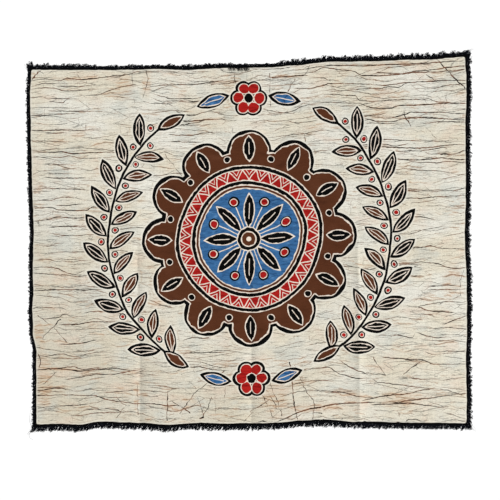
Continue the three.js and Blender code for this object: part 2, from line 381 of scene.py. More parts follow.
def stitches(side, rng):
    """Yarn turns that catch the heading to the cloth's edge, from the face round to the back."""
    length = side_length(side)
    count = int(length / STITCH["pitch"])
    middle = (np.arange(count) + 0.5) * STITCH["pitch"] + rng.uniform(-0.5, 0.5, count)
    inner = rng.uniform(*STITCH["inner"], count)
    slope = rng.uniform(*STITCH["slope"], count)
    halfway = np.stack([-inner, -0.2 * inner, 0 * inner + 2.2], axis=1)
    round_end = np.full((count, 1), STITCH["out"])
    out = np.concatenate([halfway, round_end, halfway[:, ::-1]], axis=1)
    forward = np.array([0.55, 1.15, 1.5, 0, -1.5, -1.15, -0.55]) + 0 * out
    lean = np.linspace(-1, 1, out.shape[1])
    travel = middle[:, None] + slope[:, None] * lean
    radii = np.full(out.shape, STITCH["radius"])
    return beside_edge(side, travel, out, forward), radii, 3, side_axis(side)


def corner_lean(travel, length):
    """1 at the start of a side, falling to 0 within the corner's span, and -1 at its end."""
    start = np.clip(1 - travel / CORNER_SPAN, 0, 1)
    end = np.clip(1 - (length - travel) / CORNER_SPAN, 0, 1)
    return end - start


def fringe_reach(fringe, middle):
    """How far the fringe reaches out at places along its side."""
    return read_table(fringe["reach"], "share", "length", middle / side_length(fringe["side"]))


def lock_places(fringe, rng):
    """Each lock's middle, width, length, slant and tilt."""
    length = side_length(fringe["side"])
    count = fringe["locks"]
    stray = LOCK["stray"]
    middle = (np.arange(count) + 0.5) * length / count + rng.uniform(-stray, stray, count)
    corner = corner_lean(middle, length)
    extent = fringe_reach(fringe, middle) * (1 + (fringe["corner"] - 1) * np.abs(corner))
    return {
        "middle": middle,
        "width": LOCK["fill"] * length / count * rng.uniform(*LOCK["width"], count),
        "length": extent * rng.uniform(*fringe["uneven"], count),
        "slant": fringe["lean"] + rng.uniform(*LOCK["slant"], count) + LOCK["corner_slant"] * corner,
        "tilt": rng.uniform(*LOCK["tilt"], count),
    }


def of_locks(locks, per_lock):
    """The values of the locks for each of their strands, and the number of strands."""
    each = {key: np.repeat(value, per_lock)[:, None] for key, value in locks.items()}
    return each, len(each["middle"])


def strands(fringe, locks, rng):
    """The loose yarn ends of each lock."""
    each, count = of_locks(locks, fringe["strands"])
    share = np.linspace(0, 1, 6)[None, :]
    start = rng.uniform(*STRAND["start"], (count, 1)) * each["width"]
    extent = each["length"] * rng.uniform(*STRAND["length"], (count, 1))
    curl = rng.normal(0, STRAND["curl"], (count, 1))
    phase = rng.uniform(0, 2 * math.pi, (count, 1))
    slant = each["slant"] + rng.normal(0, STRAND["slant"], (count, 1))
    bend = phase + STRAND["turn"] * share
    travel = each["middle"] + start * (1 - STRAND["gather"] * share) + slant * extent * share**2
    travel = travel + curl * share * np.sin(bend)
    out = 1.0 + (extent - 1.0) * share
    depth = rng.uniform(*STRAND["depth"], (count, 1))
    forward = depth * (1 - 0.2 * share) + each["tilt"] * extent * share**2
    forward = forward + 0.5 * curl * share * np.cos(bend)
    radii = rng.uniform(*STRAND["radius"], (count, 1)) * (1 - STRAND["taper"] * share)
    return beside_edge(fringe["side"], travel, out, forward), radii, 3, FACE_AXIS


def mat(fringe, rng):
    """Short thick yarn ends that hold on to both faces of the cloth and fill the fringe's root."""
    length = side_length(fringe["side"])
    count = int(length * MAT["per_mm"])
    middle = rng.uniform(0, length, (count, 1))
    share = np.linspace(0, 1, 4)[None, :]
    extent = fringe_reach(fringe, middle) * fringe["mat"] * rng.uniform(*MAT["length"], (count, 1))
    slant = fringe["lean"] + rng.normal(0, MAT["slant"], (count, 1))
    travel = np.clip(middle + slant * extent * share, -MAT["past_end"], length + MAT["past_end"])
    start = rng.uniform(*MAT["start"], (count, 1))
    out = start + (extent - start) * share
    face = np.where(rng.uniform(0, 1, (count, 1)) < 0.5, -1, 1)
    forward = face * (0.95 - 0.6 * share) + rng.uniform(*MAT["depth"], (count, 1))
    radii = rng.uniform(*MAT["radius"], (count, 1)) * (1 - MAT["taper"] * share)
    return beside_edge(fringe["side"], travel, out, forward), radii, 3, FACE_AXIS


def corner_tufts(fringe, rng):
    """Yarn ends that fan out round the two corners."""
    length = side_length(fringe["side"])
    count = 2 * TUFT["strands"]
    at_end = (np.arange(count) % 2)[:, None]
    direction = 2 * at_end - 1
    start = rng.uniform(*TUFT["start"], (count, 1))
    angle = rng.uniform(*TUFT["angle"], (count, 1))
    ends = np.array([fringe["reach"]["length"][0], fringe["reach"]["length"][-1]])
    extent = ends[at_end] * rng.uniform(*TUFT["length"], (count, 1)) * (1 + 0.25 * angle)
    share = np.linspace(0, 1, 6)[None, :]
    phase = rng.uniform(0, 2 * math.pi, (count, 1))
    wave = 0.6 * share * np.sin(phase + 4 * share)
    travel = at_end * length + direction * (np.sin(angle) * extent * share - start * (1 - share) + wave)
    out = 0.4 + np.cos(angle) * extent * share
    forward = rng.uniform(*TUFT["depth"], (count, 1)) + 0.5 * share * np.cos(phase + 3 * share)
    radii = rng.uniform(*TUFT["radius"], (count, 1)) * (1 - TUFT["taper"] * share)
    return beside_edge(fringe["side"], travel, out, forward), radii, 3, FACE_AXIS


def loops(fringe, locks, rng):
    """Yarn that turns back on itself and stands as small arches."""
    each, count = of_locks(locks, fringe["loops"])
    share = np.linspace(0, 1, 10)[None, :]
    start = rng.uniform(*LOOP["start"], (count, 1)) * each["width"]
    spread = rng.uniform(*LOOP["spread"], (count, 1))
    extent = each["length"] * rng.uniform(*LOOP["length"], (count, 1))
    height = np.sin(math.pi * share) ** 0.75
    slant = each["slant"] + rng.normal(0, LOOP["slant"], (count, 1))
    travel = each["middle"] + start - spread * np.cos(math.pi * share)
    travel = travel + slant * extent * height**2
    out = 1.2 + (extent - 1.2) * height
    depth = rng.uniform(*LOOP["depth"], (count, 1))
    forward = depth * (1 - 2 * share) + each["tilt"] * extent * height
    radii = rng.uniform(*LOOP["radius"], (count, 1)) + 0 * share
    return beside_edge(fringe["side"], travel, out, forward), radii, 4, FACE_AXIS


def strays(fringe, rng):
    """A few long thin threads, some of them at the two corners."""
    length = side_length(fringe["side"])
    near_start = rng.uniform(*STRAY["from_corner"], STRAY["at_corner"])
    near_end = length - rng.uniform(*STRAY["from_corner"], STRAY["at_corner"])
    anywhere = rng.uniform(STRAY["clear"], length - STRAY["clear"], STRAY["between"])
    middle = np.concatenate([near_start, near_end, anywhere])[:, None]
    corner = corner_lean(middle, length)
    share = np.linspace(0, 1, 9)[None, :]
    extent = rng.uniform(*STRAY["length"], middle.shape) + STRAY["corner_length"] * np.abs(corner)
    phase = rng.uniform(0, 2 * math.pi, middle.shape)
    slant = rng.uniform(*STRAY["slant"], middle.shape) + STRAY["corner_slant"] * corner
    travel = middle + slant * extent * share + 1.6 * share * np.sin(phase + 5 * share)
    out = 1.0 + extent * share * (1 - 0.15 * share)
    forward = 1.2 * share * np.cos(phase + 4 * share)
    radii = STRAY["radius"] * (1 - STRAY["taper"] * share) + 0 * middle
    return beside_edge(fringe["side"], travel, out, forward), radii, 3, FACE_AXIS


def placed_threads(fringe):
    """Threads placed one by one, each by the four points that its curve is drawn from."""
    points = np.array(fringe["threads"], float)
    share = np.linspace(0, 1, 13)
    back = 1 - share
    weights = np.stack([back**3, 3 * share * back**2, 3 * share**2 * back, share**3])
    travel, out = np.einsum("kp,tkc->ctp", weights, points)
    radii = 0.42 - 0.2 * share + 0 * travel
    return beside_edge(fringe["side"], travel, out, 0 * travel), radii, 3, FACE_AXIS


def turned_back(fringe, rng):
    """Locks that have folded over and lie on the face below the edge."""
    low, high = fringe["turned_back"]["share"]
    length = side_length(fringe["side"])
    count = fringe["turned_back"]["locks"] * TURNED_BACK["strands"]
    middle = rng.uniform(low, high, (count, 1)) * length
    share = np.linspace(0, 1, 9)[None, :]
    extent = rng.uniform(*TURNED_BACK["length"], (count, 1))
    slant = rng.normal(TURNED_BACK["lean"], TURNED_BACK["slant"], (count, 1))
    rise = rng.uniform(*TURNED_BACK["rise"], (count, 1))
    travel = middle + slant * extent * share
    out = 1.5 + rise * np.sin(math.pi * np.minimum(1.5 * share, 1)) - extent * share**1.4
    forward = 0.9 + rng.uniform(*TURNED_BACK["forward"], (count, 1)) * np.sin(0.5 * math.pi * share)
    radii = rng.uniform(*TURNED_BACK["radius"], (count, 1)) * (1 - TURNED_BACK["taper"] * share)
    places = beside_edge(fringe["side"], travel, out, forward)
    return places, radii, 3, side_axis(fringe["side"])


def make_fringe(fringe, seed):
    """All the yarn along one side of the cloth, as one object."""
    rng = np.random.default_rng(seed)
    locks = lock_places(fringe, rng)
    groups = [
        heading(fringe["side"]),
        stitches(fringe["side"], rng),
        mat(fringe, rng),
        corner_tufts(fringe, rng),
        strands(fringe, locks, rng),
        loops(fringe, locks, rng),
        strays(fringe, rng),
    ]
    if "threads" in fringe:
        groups.append(placed_threads(fringe))
    if "turned_back" in fringe:
        groups.append(turned_back(fringe, rng))
    return join_tubes(fringe["name"], groups)


# Arithmetic on node sockets

class Field:
    """A value at every point of a surface: an output of one of a material's nodes."""

    def __init__(self, socket):
        self.socket = socket

    def new_node(self, kind):
        return self.socket.id_data.nodes.new(kind)

    def __add__(self, other):
        return calculate("ADD", self, other)

    def __sub__(self, other):
        return calculate("SUBTRACT", self, other)

    def __rsub__(self, other):
        return calculate("SUBTRACT", other, self)

    def __mul__(self, other):
        return calculate("MULTIPLY", self, other)

    def __truediv__(self, other):
        return calculate("DIVIDE", self, other)


def feed(socket, value):
    """Links a field to a socket, or sets the socket to a plain value."""
    if isinstance(value, Field):
        socket.id_data.links.new(value.socket, socket)
    else:
        socket.default_value = value


def operation_node(kind, operation, values):
    """A node that works out an operation on fields and plain values."""
    node = next(value for value in values if isinstance(value, Field)).new_node(kind)
    node.operation = operation
    for socket, value in zip(node.inputs, values):
        feed(socket, value)
    return node


def calculate(operation, *values, limited=False):
    node = operation_node("ShaderNodeMath", operation, values)
    node.use_clamp = limited
    return Field(node.outputs[0])


def vector(operation, *values):
    return Field(operation_node("ShaderNodeVectorMath", operation, values).outputs["Vector"])


def number(operation, *values):
    return Field(operation_node("ShaderNodeVectorMath", operation, values).outputs["Value"])


def split(place):
    node = place.new_node("ShaderNodeSeparateXYZ")
    feed(node.inputs[0], place)
    return Field(node.outputs[0]), Field(node.outputs[1])


def combine(x, y):
    node = x.new_node("ShaderNodeCombineXYZ")
    feed(node.inputs[0], x)
    feed(node.inputs[1], y)
    return Field(node.outputs[0])


def size_of(value):
    return calculate("ABSOLUTE", value)


def least(first, *others):
    for other in others:
        first = calculate("MINIMUM", first, other)
    return first


def most(first, *others):
    """The largest of these. The first may be None, where there is nothing yet."""
    for other in others:
        first = other if first is None else calculate("MAXIMUM", first, other)
    return first


def reach(x, y):
    """Distance of x, y from zero."""
    return calculate("SQRT", calculate("MULTIPLY_ADD", x, x, y * y))


def above(value, edge, width):
    """1 where the value is over an edge, 0 where it is under, and soft over a width."""
    return calculate("MULTIPLY_ADD", value, 1 / width, 0.5 - edge / width, limited=True)


def below(value, edge, width):
    """1 where the value is under an edge, 0 where it is over, and soft over a width."""
    return calculate("MULTIPLY_ADD", value, -1 / width, 0.5 + edge / width, limited=True)


def ease(value, low, high, start=0.0, end=1.0):
    """From start to end as the value goes from low to high, slow at both ends."""
    node = value.new_node("ShaderNodeMapRange")
    node.interpolation_type = "SMOOTHSTEP"
    for key, setting in (("Value", value), ("From Min", low), ("From Max", high),
                         ("To Min", start), ("To Max", end)):
        feed(node.inputs[key], setting)
    return Field(node.outputs[0])


def stretched(place, across, down, seed):
    """The place in units of a feature's size, moved so that two seeds have nothing in common."""
    shift = (17.31 * seed, 9.73 * seed, 0)
    return vector("MULTIPLY_ADD", place, (1 / across, 1 / down, 0), shift)


def noise_texture(field, detail, dimensions="2D"):
    """A noise node among the field's nodes, with features one unit across."""
    node = field.new_node("ShaderNodeTexNoise")
    node.noise_dimensions = dimensions
    node.inputs["Scale"].default_value = 1
    node.inputs["Detail"].default_value = detail
    return node


def noise_node(place, across, down, seed, detail):
    node = noise_texture(place, detail)
    feed(node.inputs["Vector"], stretched(place, across, down, seed))
    return node


def noise(place, across, down, seed, detail=2):
    """Soft noise from about -0.5 to 0.5, with features of these sizes."""
    return Field(noise_node(place, across, down, seed, detail).outputs["Fac"]) - 0.5


def drift(place, across, down, seed, swing, detail=1):
    """The place moved about by soft noise."""
    node = noise_node(place, across, down, seed, detail)
    centred = vector("SUBTRACT", Field(node.outputs["Color"]), (0.5, 0.5, 0.5))
    return vector("MULTIPLY_ADD", centred, (2 * swing, 2 * swing, 0), place)


def srgb(red, green, blue):
    """A colour as measured on a screen, 0 to 255, as the shader takes it."""
    def linear(value):
        value = value / 255
        return value / 12.92 if value <= 0.04045 else ((value + 0.055) / 1.055) ** 2.4
    return (linear(red), linear(green), linear(blue), 1.0)


def paint(colour, dye, where):
    """A colour with a dye laid over it where the mask is 1."""
    node = where.new_node("ShaderNodeMix")
    node.data_type = "RGBA"
    feed(node.inputs["Factor"], where)
    feed(node.inputs[6], colour)
    feed(node.inputs[7], dye)
    return Field(node.outputs[2])


def scaled(value, factor):
    """A colour or a place times a number."""
    node = factor.new_node("ShaderNodeVectorMath")
    node.operation = "SCALE"
    feed(node.inputs[0], value)
    feed(node.inputs["Scale"], factor)
    return Field(node.outputs[0])


def make_group(name, build, outputs):
    """A node group that turns a place into what build makes of it."""
    group = bpy.data.node_groups.new(name, "ShaderNodeTree")
    group.interface.new_socket("place", in_out="INPUT", socket_type="NodeSocketVector")
    results = build(Field(group.nodes.new("NodeGroupInput").outputs[0]))
    end = group.nodes.new("NodeGroupOutput")
    for (title, kind), result in zip(outputs, results):
        group.interface.new_socket(title, in_out="OUTPUT", socket_type=kind)
        feed(end.inputs[title], result)


def use_group(name, place):
    """What a node group makes of the place, one field for each of its outputs."""
    node = place.new_node("ShaderNodeGroup")
    node.node_tree = bpy.data.node_groups[name]
    feed(node.inputs[0], place)
    return [Field(socket) for socket in node.outputs]


# Crackle of the wax, which lets dark dye into the cloth in fine lines

def spots(grid, feature):
    """Distance to the nearest or second nearest of scattered points, and that point's place."""
    node = grid.new_node("ShaderNodeTexVoronoi")
    node.voronoi_dimensions = "2D"
    node.feature = feature
    node.inputs["Scale"].default_value = 1
    feed(node.inputs["Vector"], grid)
    return Field(node.outputs["Distance"]), Field(node.outputs["Position"])


def crack_net(place, across, down, seed):
    """Distance to a net of cracks, in millimetres, and how level the nearest crack runs.
    The cracks lie halfway between the two nearest of scattered points."""
    grid = stretched(place, across, down, seed)
    near, near_spot = spots(grid, "F1")
    far, far_spot = spots(grid, "F2")
    apart = vector("SUBTRACT", near_spot, far_spot)
    slope = vector("MULTIPLY", apart, (1 / across, 1 / down, 0))
    steepness = number("LENGTH", slope)
    distance = (far - near) * (far + near) * 0.5 / steepness
    level = size_of(split(slope)[1]) / steepness
    return distance, level


def row_noise(along, row, length, seed):
    """Soft noise along a row, with nothing in common between rows."""
    node = noise_texture(along, 1)
    feed(node.inputs["Vector"], combine(along * (1 / length), row * 7.31 + 3.7 * seed))
    return Field(node.outputs["Fac"]) - 0.5


def crack_rows(along, across, cracks, seed):
    """Cracks that run along and come and go. Gives the distance to the nearest, in millimetres,
    and how strongly it shows."""
    rows = across / cracks["pitch"]
    row = calculate("FLOOR", rows)
    shift = row_noise(along, row, cracks["length"] * 0.5, seed) * 1.1
    distance = size_of(rows - row - 0.5 - shift) * cracks["pitch"]
    mask = row_noise(along, row, cracks["length"], seed + 40)
    shown = ease(mask, cracks["from"], cracks["from"] + 0.07)
    return distance, shown


def from_line(place, start, end):
    """Distance from a straight line between two places."""
    x = end[0] - start[0]
    y = end[1] - start[1]
    scale = 1 / (x * x + y * y)
    offset = vector("SUBTRACT", place, (*start, 0))
    share = number("DOT_PRODUCT", offset, (x * scale, y * scale, 0))
    share = least(most(share, 0), 1)
    return number("LENGTH", vector("SUBTRACT", offset, scaled((x, y, 0), share)))


def read_curve(value, places, heights):
    """The height at a value between 0 and 1, on straight lines from each place to the next."""
    node = value.new_node("ShaderNodeFloatCurve")
    curve = node.mapping.curves[0]
    while len(curve.points) < len(places):
        curve.points.new(0.5, 0.5)
    for point, place, height in zip(curve.points, places, heights):
        point.location = (place, height)
        point.handle_type = "VECTOR"
    node.mapping.update()
    feed(node.inputs["Value"], value)
    return Field(node.outputs[0])


def crack_run(share, down, run):
    """Distance from a crack that is read off a table, and half of its width."""
    places = [across / CLOTH_WIDTH + 0.5 for across, _, _ in run]
    middle = read_curve(share, places, [level / CLOTH_HEIGHT for _, level, _ in run])
    half = read_curve(share, places, [half / WIDEST_HALF for _, _, half in run])
    return size_of(down - middle * CLOTH_HEIGHT), half * WIDEST_HALF


# Where a crack's dye ends, and how softly
CRACK_EDGE = (0.1, 0.45)

# Fine procedural cracks. Rows lie a pitch apart, fall by their slope and show where their noise, of
# this length, is over "from". Nets have cells of these sizes, and their cracks show where they run
# more level than "level", from 0 for upright to 1. half is half of a crack's width, and depth how
# much dye is in it.
LEVEL_CRACKS = [
    {"pitch": 31, "length": 230, "slope": 0.02, "from": 0.03, "half": 1.0, "depth": 0.9},
    {"pitch": 21, "length": 150, "slope": -0.03, "from": 0.03, "half": 0.8, "depth": 0.8},
    {"pitch": 14, "length": 90, "slope": 0.045, "from": 0.02, "half": 0.66, "depth": 0.7},
    {"pitch": 8.5, "length": 50, "slope": -0.04, "from": 0.0, "half": 0.55, "depth": 0.6},
]
UPRIGHT_CRACKS = {"pitch": 17, "length": 46, "from": 0.04, "half": 0.55, "depth": 0.6}
CRACK_NETS = [
    {"across": 95, "down": 26, "half": 0.75, "level": 0.45, "from": 0.0, "depth": 0.75},
    {"across": 36, "down": 11, "half": 0.6, "level": 0.4, "from": 0.02, "depth": 0.6},
    {"across": 26, "down": 8, "half": 0.7, "level": 0.1, "from": -0.3, "depth": 0.2},
]

# Long cracks from the left of the cut cloth to the right, listed one by one. Each point is its place
# across and down and half of the crack's width there, which is 0 where the crack doesn't show and
# never over WIDEST_HALF.
WIDEST_HALF = 2.0
CRACK_RUNS = [
    [(-300, 12, 0), (-262, 14, 0.4), (-200, 12, 0.4), (-120, 14, 0.4), (-60, 12, 0), (95, 14, 0),
     (143, 17, 0.7), (200, 14, 0.9), (245, 14, 0.9), (286, 17, 0.9), (336, 14, 1.0), (400, 15, 1.0),
     (458, 13, 0.9), (507, 15, 0.6), (534, 13, 0.3)],
    [(-537, 32, 0.4), (-500, 28, 0.8), (-462, 32, 0.7), (-448, 26, 0.8), (-410, 30, 1.0),
     (-353, 22, 0.8), (-262, 14, 0.4), (-245, 14, 0), (-165, 14, 0), (-129, 28, 0.5), (-108, 24, 0.4),
     (-90, 22, 0), (130, 28, 0), (163, 26, 0.8), (184, 18, 0.8), (262, 30, 0.8), (278, 40, 0.7),
     (300, 40, 0.6), (315, 36, 0), (345, 22, 0.7), (400, 18, 0.8), (430, 17, 0)],
    [(-530, 46, 0.4), (-501, 38, 0.9), (-472, 40, 0.5), (-400, 38, 0), (-12, 40, 0), (24, 24, 0.5),
     (52, 28, 0.5), (60, 31, 1.0), (141, 31, 0.9), (150, 36, 0), (159, 40, 0.5), (188, 44, 0.7),
     (200, 52, 0.5), (210, 50, 0), (275, 41, 0), (286, 41, 0.9), (360, 40, 1.1), (400, 36, 1.0),
     (458, 36, 0.9), (490, 37, 0.8), (534, 35, 0.6)],
    [(-475, 47, 0), (-460, 46, 0.8), (-410, 46, 0.8), (-380, 42, 0.3), (-300, 42, 0), (-262, 52, 0.3),
     (-211, 44, 0.8), (-166, 42, 0.8), (-100, 41, 0.9), (-71, 37, 0.7), (-52, 31, 0.3), (-30, 40, 0),
     (52, 36, 0.6), (98, 40, 0.5), (110, 42, 0), (300, 37, 0), (320, 33, 0.8), (381, 39, 1.0),
     (400, 34, 0.9), (458, 30, 0.8), (502, 27, 0.9), (534, 27, 0.8)],
    [(-540, 54, 0.4), (-501, 49, 0.7), (-477, 50, 0.6), (-458, 57, 0.8), (-420, 57, 0.7),
     (-380, 52, 0.3), (-350, 52, 0), (-255, 68, 0), (-227, 56, 0.6), (-198, 46, 0.5), (-180, 46, 0),
     (105, 60, 0), (118, 62, 0.7), (155, 66, 0.8), (184, 63, 0.8), (196, 58, 0.8), (262, 60, 0.9),
     (299, 62, 0.5), (336, 65, 0.9), (385, 60, 0.9), (430, 59, 0.9), (475, 58, 0.8), (534, 62, 0.7)],
    [(-540, 74, 0.7), (-508, 72, 0.6), (-495, 76, 0.3), (-479, 76, 0.8), (-448, 77, 0.6),
     (-430, 72, 0.3), (-380, 66, 0.3), (-240, 64, 0), (-227, 68, 0.6), (-194, 77, 0.8), (-125, 76, 0.7),
     (-100, 75, 0), (190, 74, 0), (200, 78, 0.5), (262, 74, 0.6), (286, 72, 0.8), (324, 72, 0.9),
     (340, 68, 0.8), (369, 71, 0.9), (385, 62, 0.6), (395, 64, 0), (420, 82, 0.3), (534, 84, 0.4)],
    [(-492, 84, 0), (-484, 85, 0.8), (-455, 87, 0.9), (-443, 77, 0.6), (-430, 76, 0), (-215, 83, 0),
     (-205, 83, 0.6), (-149, 82, 0.8), (-100, 85, 0.4), (-80, 86, 0), (182, 85, 0), (192, 85, 0.6),
     (262, 88, 0.9), (272, 101, 0.7), (300, 103, 0.7), (345, 101, 0.8), (400, 101, 0.7),
     (443, 100, 0.7), (463, 109, 0.8), (500, 113, 0.5), (534, 112, 0.3)],
    [(-538, 100, 0.5), (-448, 99, 0.6), (-436, 100, 0), (-190, 104, 0), (-178, 107, 0.6),
     (-158, 117, 0.8), (-137, 119, 0.8), (-84, 107, 0.7), (-70, 104, 0), (170, 100, 0), (180, 104, 0.6),
     (250, 106, 0.7), (275, 108, 0.5), (290, 115, 0.9), (311, 120, 0.9), (352, 120, 0.9),
     (368, 115, 1.0), (418, 115, 1.0), (475, 113, 0.9), (534, 117, 0.8)],
    [(-495, 107, 0), (-486, 107, 0.6), (-410, 108, 0.7), (-362, 108, 0.4), (-340, 110, 0),
     (-240, 128, 0), (-223, 128, 0.5), (-178, 130, 0.9), (-150, 132, 1.2), (-117, 132, 1.1),
     (-80, 131, 0.7), (-59, 131, 0.5), (-40, 133, 0), (90, 142, 0), (103, 142, 0.5), (118, 148, 0.8),
     (163, 147, 0.5), (180, 145, 0), (325, 150, 0), (361, 142, 0.8), (384, 137, 1.0), (400, 132, 0.8),
     (423, 133, 0.8), (460, 133, 0.8), (534, 142, 0.6)],
    [(-538, 118, 0.5), (-505, 119, 0.8), (-430, 113, 0.6), (-418, 112, 0), (-190, 144, 0),
     (-178, 144, 0.7), (-158, 142, 0.8), (-145, 138, 0.8), (-121, 136, 0.7), (-108, 135, 0),
     (265, 144, 0), (300, 147, 0.9), (319, 153, 0.9), (360, 153, 0.9), (384, 146, 1.0), (452, 146, 1.1),
     (485, 151, 0.8), (534, 157, 0.8)],
    [(-538, 155, 0.7), (-500, 156, 0.9), (-455, 154, 1.0), (-420, 155, 0.6), (-371, 154, 0.5),
     (-355, 155, 0), (-200, 166, 0), (-190, 166, 0.8), (-137, 168, 0.9), (-117, 164, 0.7),
     (-71, 163, 0.5), (-60, 163, 0), (280, 157, 0), (300, 155, 0.7), (347, 158, 0.7), (368, 157, 0.4),
     (420, 158, 0), (435, 160, 0.8), (463, 157, 0.8), (534, 162, 0.7)],
    [(-505, 162, 0), (-496, 162, 0.6), (-455, 161, 0.5), (-445, 161, 0), (-195, 183, 0),
     (-182, 183, 0.8), (-125, 186, 0.7), (-112, 187, 0), (270, 196, 0), (300, 199, 0.8),
     (343, 196, 0.7), (400, 201, 0.7), (460, 203, 0.5), (534, 208, 0.3)],
    [(-538, 181, 0.4), (-500, 182, 0.8), (-455, 184, 0.6), (-440, 184, 0), (260, 209, 0),
     (286, 210, 0.8), (327, 206, 0.8), (360, 213, 0.8), (388, 209, 0.6), (400, 209, 0)],
    [(-527, 211, 0.4), (-500, 210, 0.9), (-458, 209, 1.1), (-434, 213, 1.0), (-391, 211, 0.9),
     (-340, 209, 0.8), (-300, 214, 0.3), (-280, 214, 0), (270, 213, 0), (290, 213, 0.6),
     (335, 214, 1.0), (400, 219, 1.0), (452, 218, 1.0), (485, 215, 0.9), (516, 214, 0.7), (534, 216, 0.3)],
    [(-524, 222, 0.5), (-460, 222, 0.8), (-445, 217, 0.7), (-400, 226, 0.5), (-330, 222, 0.4),
     (-310, 222, 0), (340, 222, 0), (360, 225, 0.6), (420, 226, 0.8), (480, 220, 0.6), (500, 219, 0)],
    [(-505, 240, 0), (-495, 241, 0.6), (-460, 241, 0.7), (-440, 240, 0), (310, 245, 0), (330, 245, 0.7),
     (374, 245, 1.0), (400, 248, 0.9), (452, 246, 1.0), (468, 244, 1.0), (501, 249, 0.8),
     (537, 252, 0.8)],
    [(-510, 262, 0), (-495, 262, 0.7), (-455, 262, 0.7), (-435, 260, 0), (420, 254, 0), (429, 254, 0.6),
     (468, 256, 0.8), (485, 254, 0.7), (537, 258, 0.8)],
    [(-508, 272, 0), (-499, 272, 0.7), (-479, 274, 0.9), (-414, 273, 0.8), (-400, 272, 0),
     (320, 274, 0), (345, 272, 0.6), (385, 268, 0.6), (427, 274, 0.8), (460, 274, 0.7), (500, 283, 0.4)],
    [(-522, 300, 0.3), (-471, 300, 0.8), (-413, 301, 0.6), (-400, 301, 0), (345, 316, 0),
     (354, 316, 0.6), (389, 317, 0.8), (430, 321, 0.6), (470, 321, 0.7), (485, 321, 0)],
    [(-520, 329, 0.4), (-487, 329, 0.7), (-470, 323, 0.8), (-442, 319, 0.8), (-430, 319, 0),
     (345, 320, 0), (354, 320, 0.9), (389, 320, 1.2), (420, 325, 0.7), (435, 326, 0)],
    [(-482, 342, 0), (-470, 342, 0.9), (-450, 341, 0.9), (-421, 338, 0.7), (-412, 338, 0),
     (320, 334, 0), (333, 334, 0.6), (370, 338, 0.8), (423, 341, 0.8), (460, 338, 0.8), (537, 338, 0.6)],
    [(-534, 344, 0.5), (-511, 348, 0.8), (-487, 346, 0.8), (-474, 353, 0.9), (-401, 354, 0.9),
     (-389, 347, 0.8), (-330, 346, 0.7), (-310, 346, 0), (400, 352, 0), (425, 350, 0.7),
     (450, 346, 0.6), (475, 340, 0)],
    [(-520, 378, 0.4), (-499, 377, 0.8), (-478, 370, 1.0), (-433, 372, 0.9), (-389, 372, 0.6),
     (-375, 372, 0), (345, 382, 0), (354, 382, 0.7), (382, 381, 1.0), (400, 385, 1.1), (430, 386, 0.9),
     (465, 394, 0.3), (480, 394, 0)],
    [(-500, 396, 0), (-490, 395, 0.9), (-417, 392, 0.8), (-390, 395, 0.4), (-380, 395, 0),
     (355, 388, 0), (365, 389, 0.6), (395, 388, 0.5), (410, 388, 0), (480, 402, 0), (500, 400, 0.4),
     (537, 395, 0.4)],
    [(-488, 420, 0), (-474, 419, 0.6), (-454, 415, 0.7), (-377, 415, 0.6), (-360, 415, 0),
     (470, 438, 0), (500, 432, 0.5), (537, 425, 0.4)],
    [(-518, 440, 0.3), (-495, 443, 0.6), (-470, 440, 0.3), (-455, 440, 0), (360, 455, 0),
     (370, 455, 0.9), (390, 458, 1.3), (428, 460, 0.9), (452, 455, 0.7), (476, 463, 0.6), (537, 467, 0.5)],
    [(-534, 495, 0.6), (-512, 494, 0.8), (-487, 495, 0.9), (-470, 500, 0.9), (-450, 509, 0.7),
     (-404, 516, 0.5), (-390, 517, 0), (315, 496, 0), (330, 496, 0.6), (398, 498, 0.7), (427, 494, 0.7),
     (468, 499, 0.8), (489, 510, 0.9), (518, 512, 0.6), (537, 510, 0.4)],
    [(-534, 552, 0.5), (-487, 551, 1.0), (-421, 549, 0.9), (-400, 550, 0.5), (-375, 557, 0.5),
     (-330, 568, 0.4), (-315, 570, 0), (320, 540, 0), (330, 540, 0.8), (355, 540, 0.6), (366, 538, 0.5),
     (390, 527, 0.9), (424, 529, 0.7), (435, 529, 0)],
    [(-530, 564, 0), (-520, 564, 0.6), (-503, 567, 0.6), (-466, 570, 0.4), (-445, 580, 0.5),
     (-408, 580, 0.4), (-395, 580, 0), (435, 553, 0), (450, 553, 0.8), (496, 552, 0.8), (510, 552, 0)],
    [(-534, 595, 0.5), (-499, 595, 0.7), (-460, 597, 0.5), (-445, 600, 0), (320, 588, 0),
     (330, 589, 0.6), (355, 593, 0.5), (370, 595, 0), (437, 562, 0), (446, 562, 0.7), (500, 562, 0.8),
     (510, 562, 0)],
    [(-515, 622, 0), (-499, 622, 0.8), (-470, 620, 0.8), (-458, 611, 0.7), (-445, 609, 0),
     (-410, 609, 0), (-400, 609, 0.7), (-375, 607, 0.9), (-321, 612, 0.9), (-297, 615, 0.6),
     (-280, 617, 0), (412, 603, 0), (422, 605, 0.9), (431, 610, 1.1), (455, 615, 1.0), (497, 617, 0.9),
     (510, 618, 0)],
    [(-475, 636, 0), (-458, 636, 0.9), (-400, 634, 0.9), (-342, 634, 0.7), (-285, 633, 0.6),
     (-270, 633, 0), (390, 622, 0), (401, 622, 0.5), (451, 622, 0.5), (465, 645, 0), (482, 645, 0.7),
     (501, 637, 0.9), (537, 625, 0.7)],
    [(-480, 686, 0), (-466, 686, 0.8), (-416, 682, 1.0), (-389, 680, 0.8), (-375, 684, 0),
     (350, 670, 0), (361, 671, 0.8), (401, 678, 0.8), (410, 664, 0), (418, 667, 0.8), (426, 671, 0.9),
     (459, 678, 0.9), (476, 677, 0.6), (488, 677, 0)],
    [(-505, 722, 0), (-491, 722, 0.5), (-430, 720, 0.6), (-415, 720, 0), (-175, 709, 0),
     (-159, 709, 0.7), (-76, 707, 0.6), (-60, 707, 0), (320, 725, 0), (333, 726, 0.8), (367, 728, 0.9),
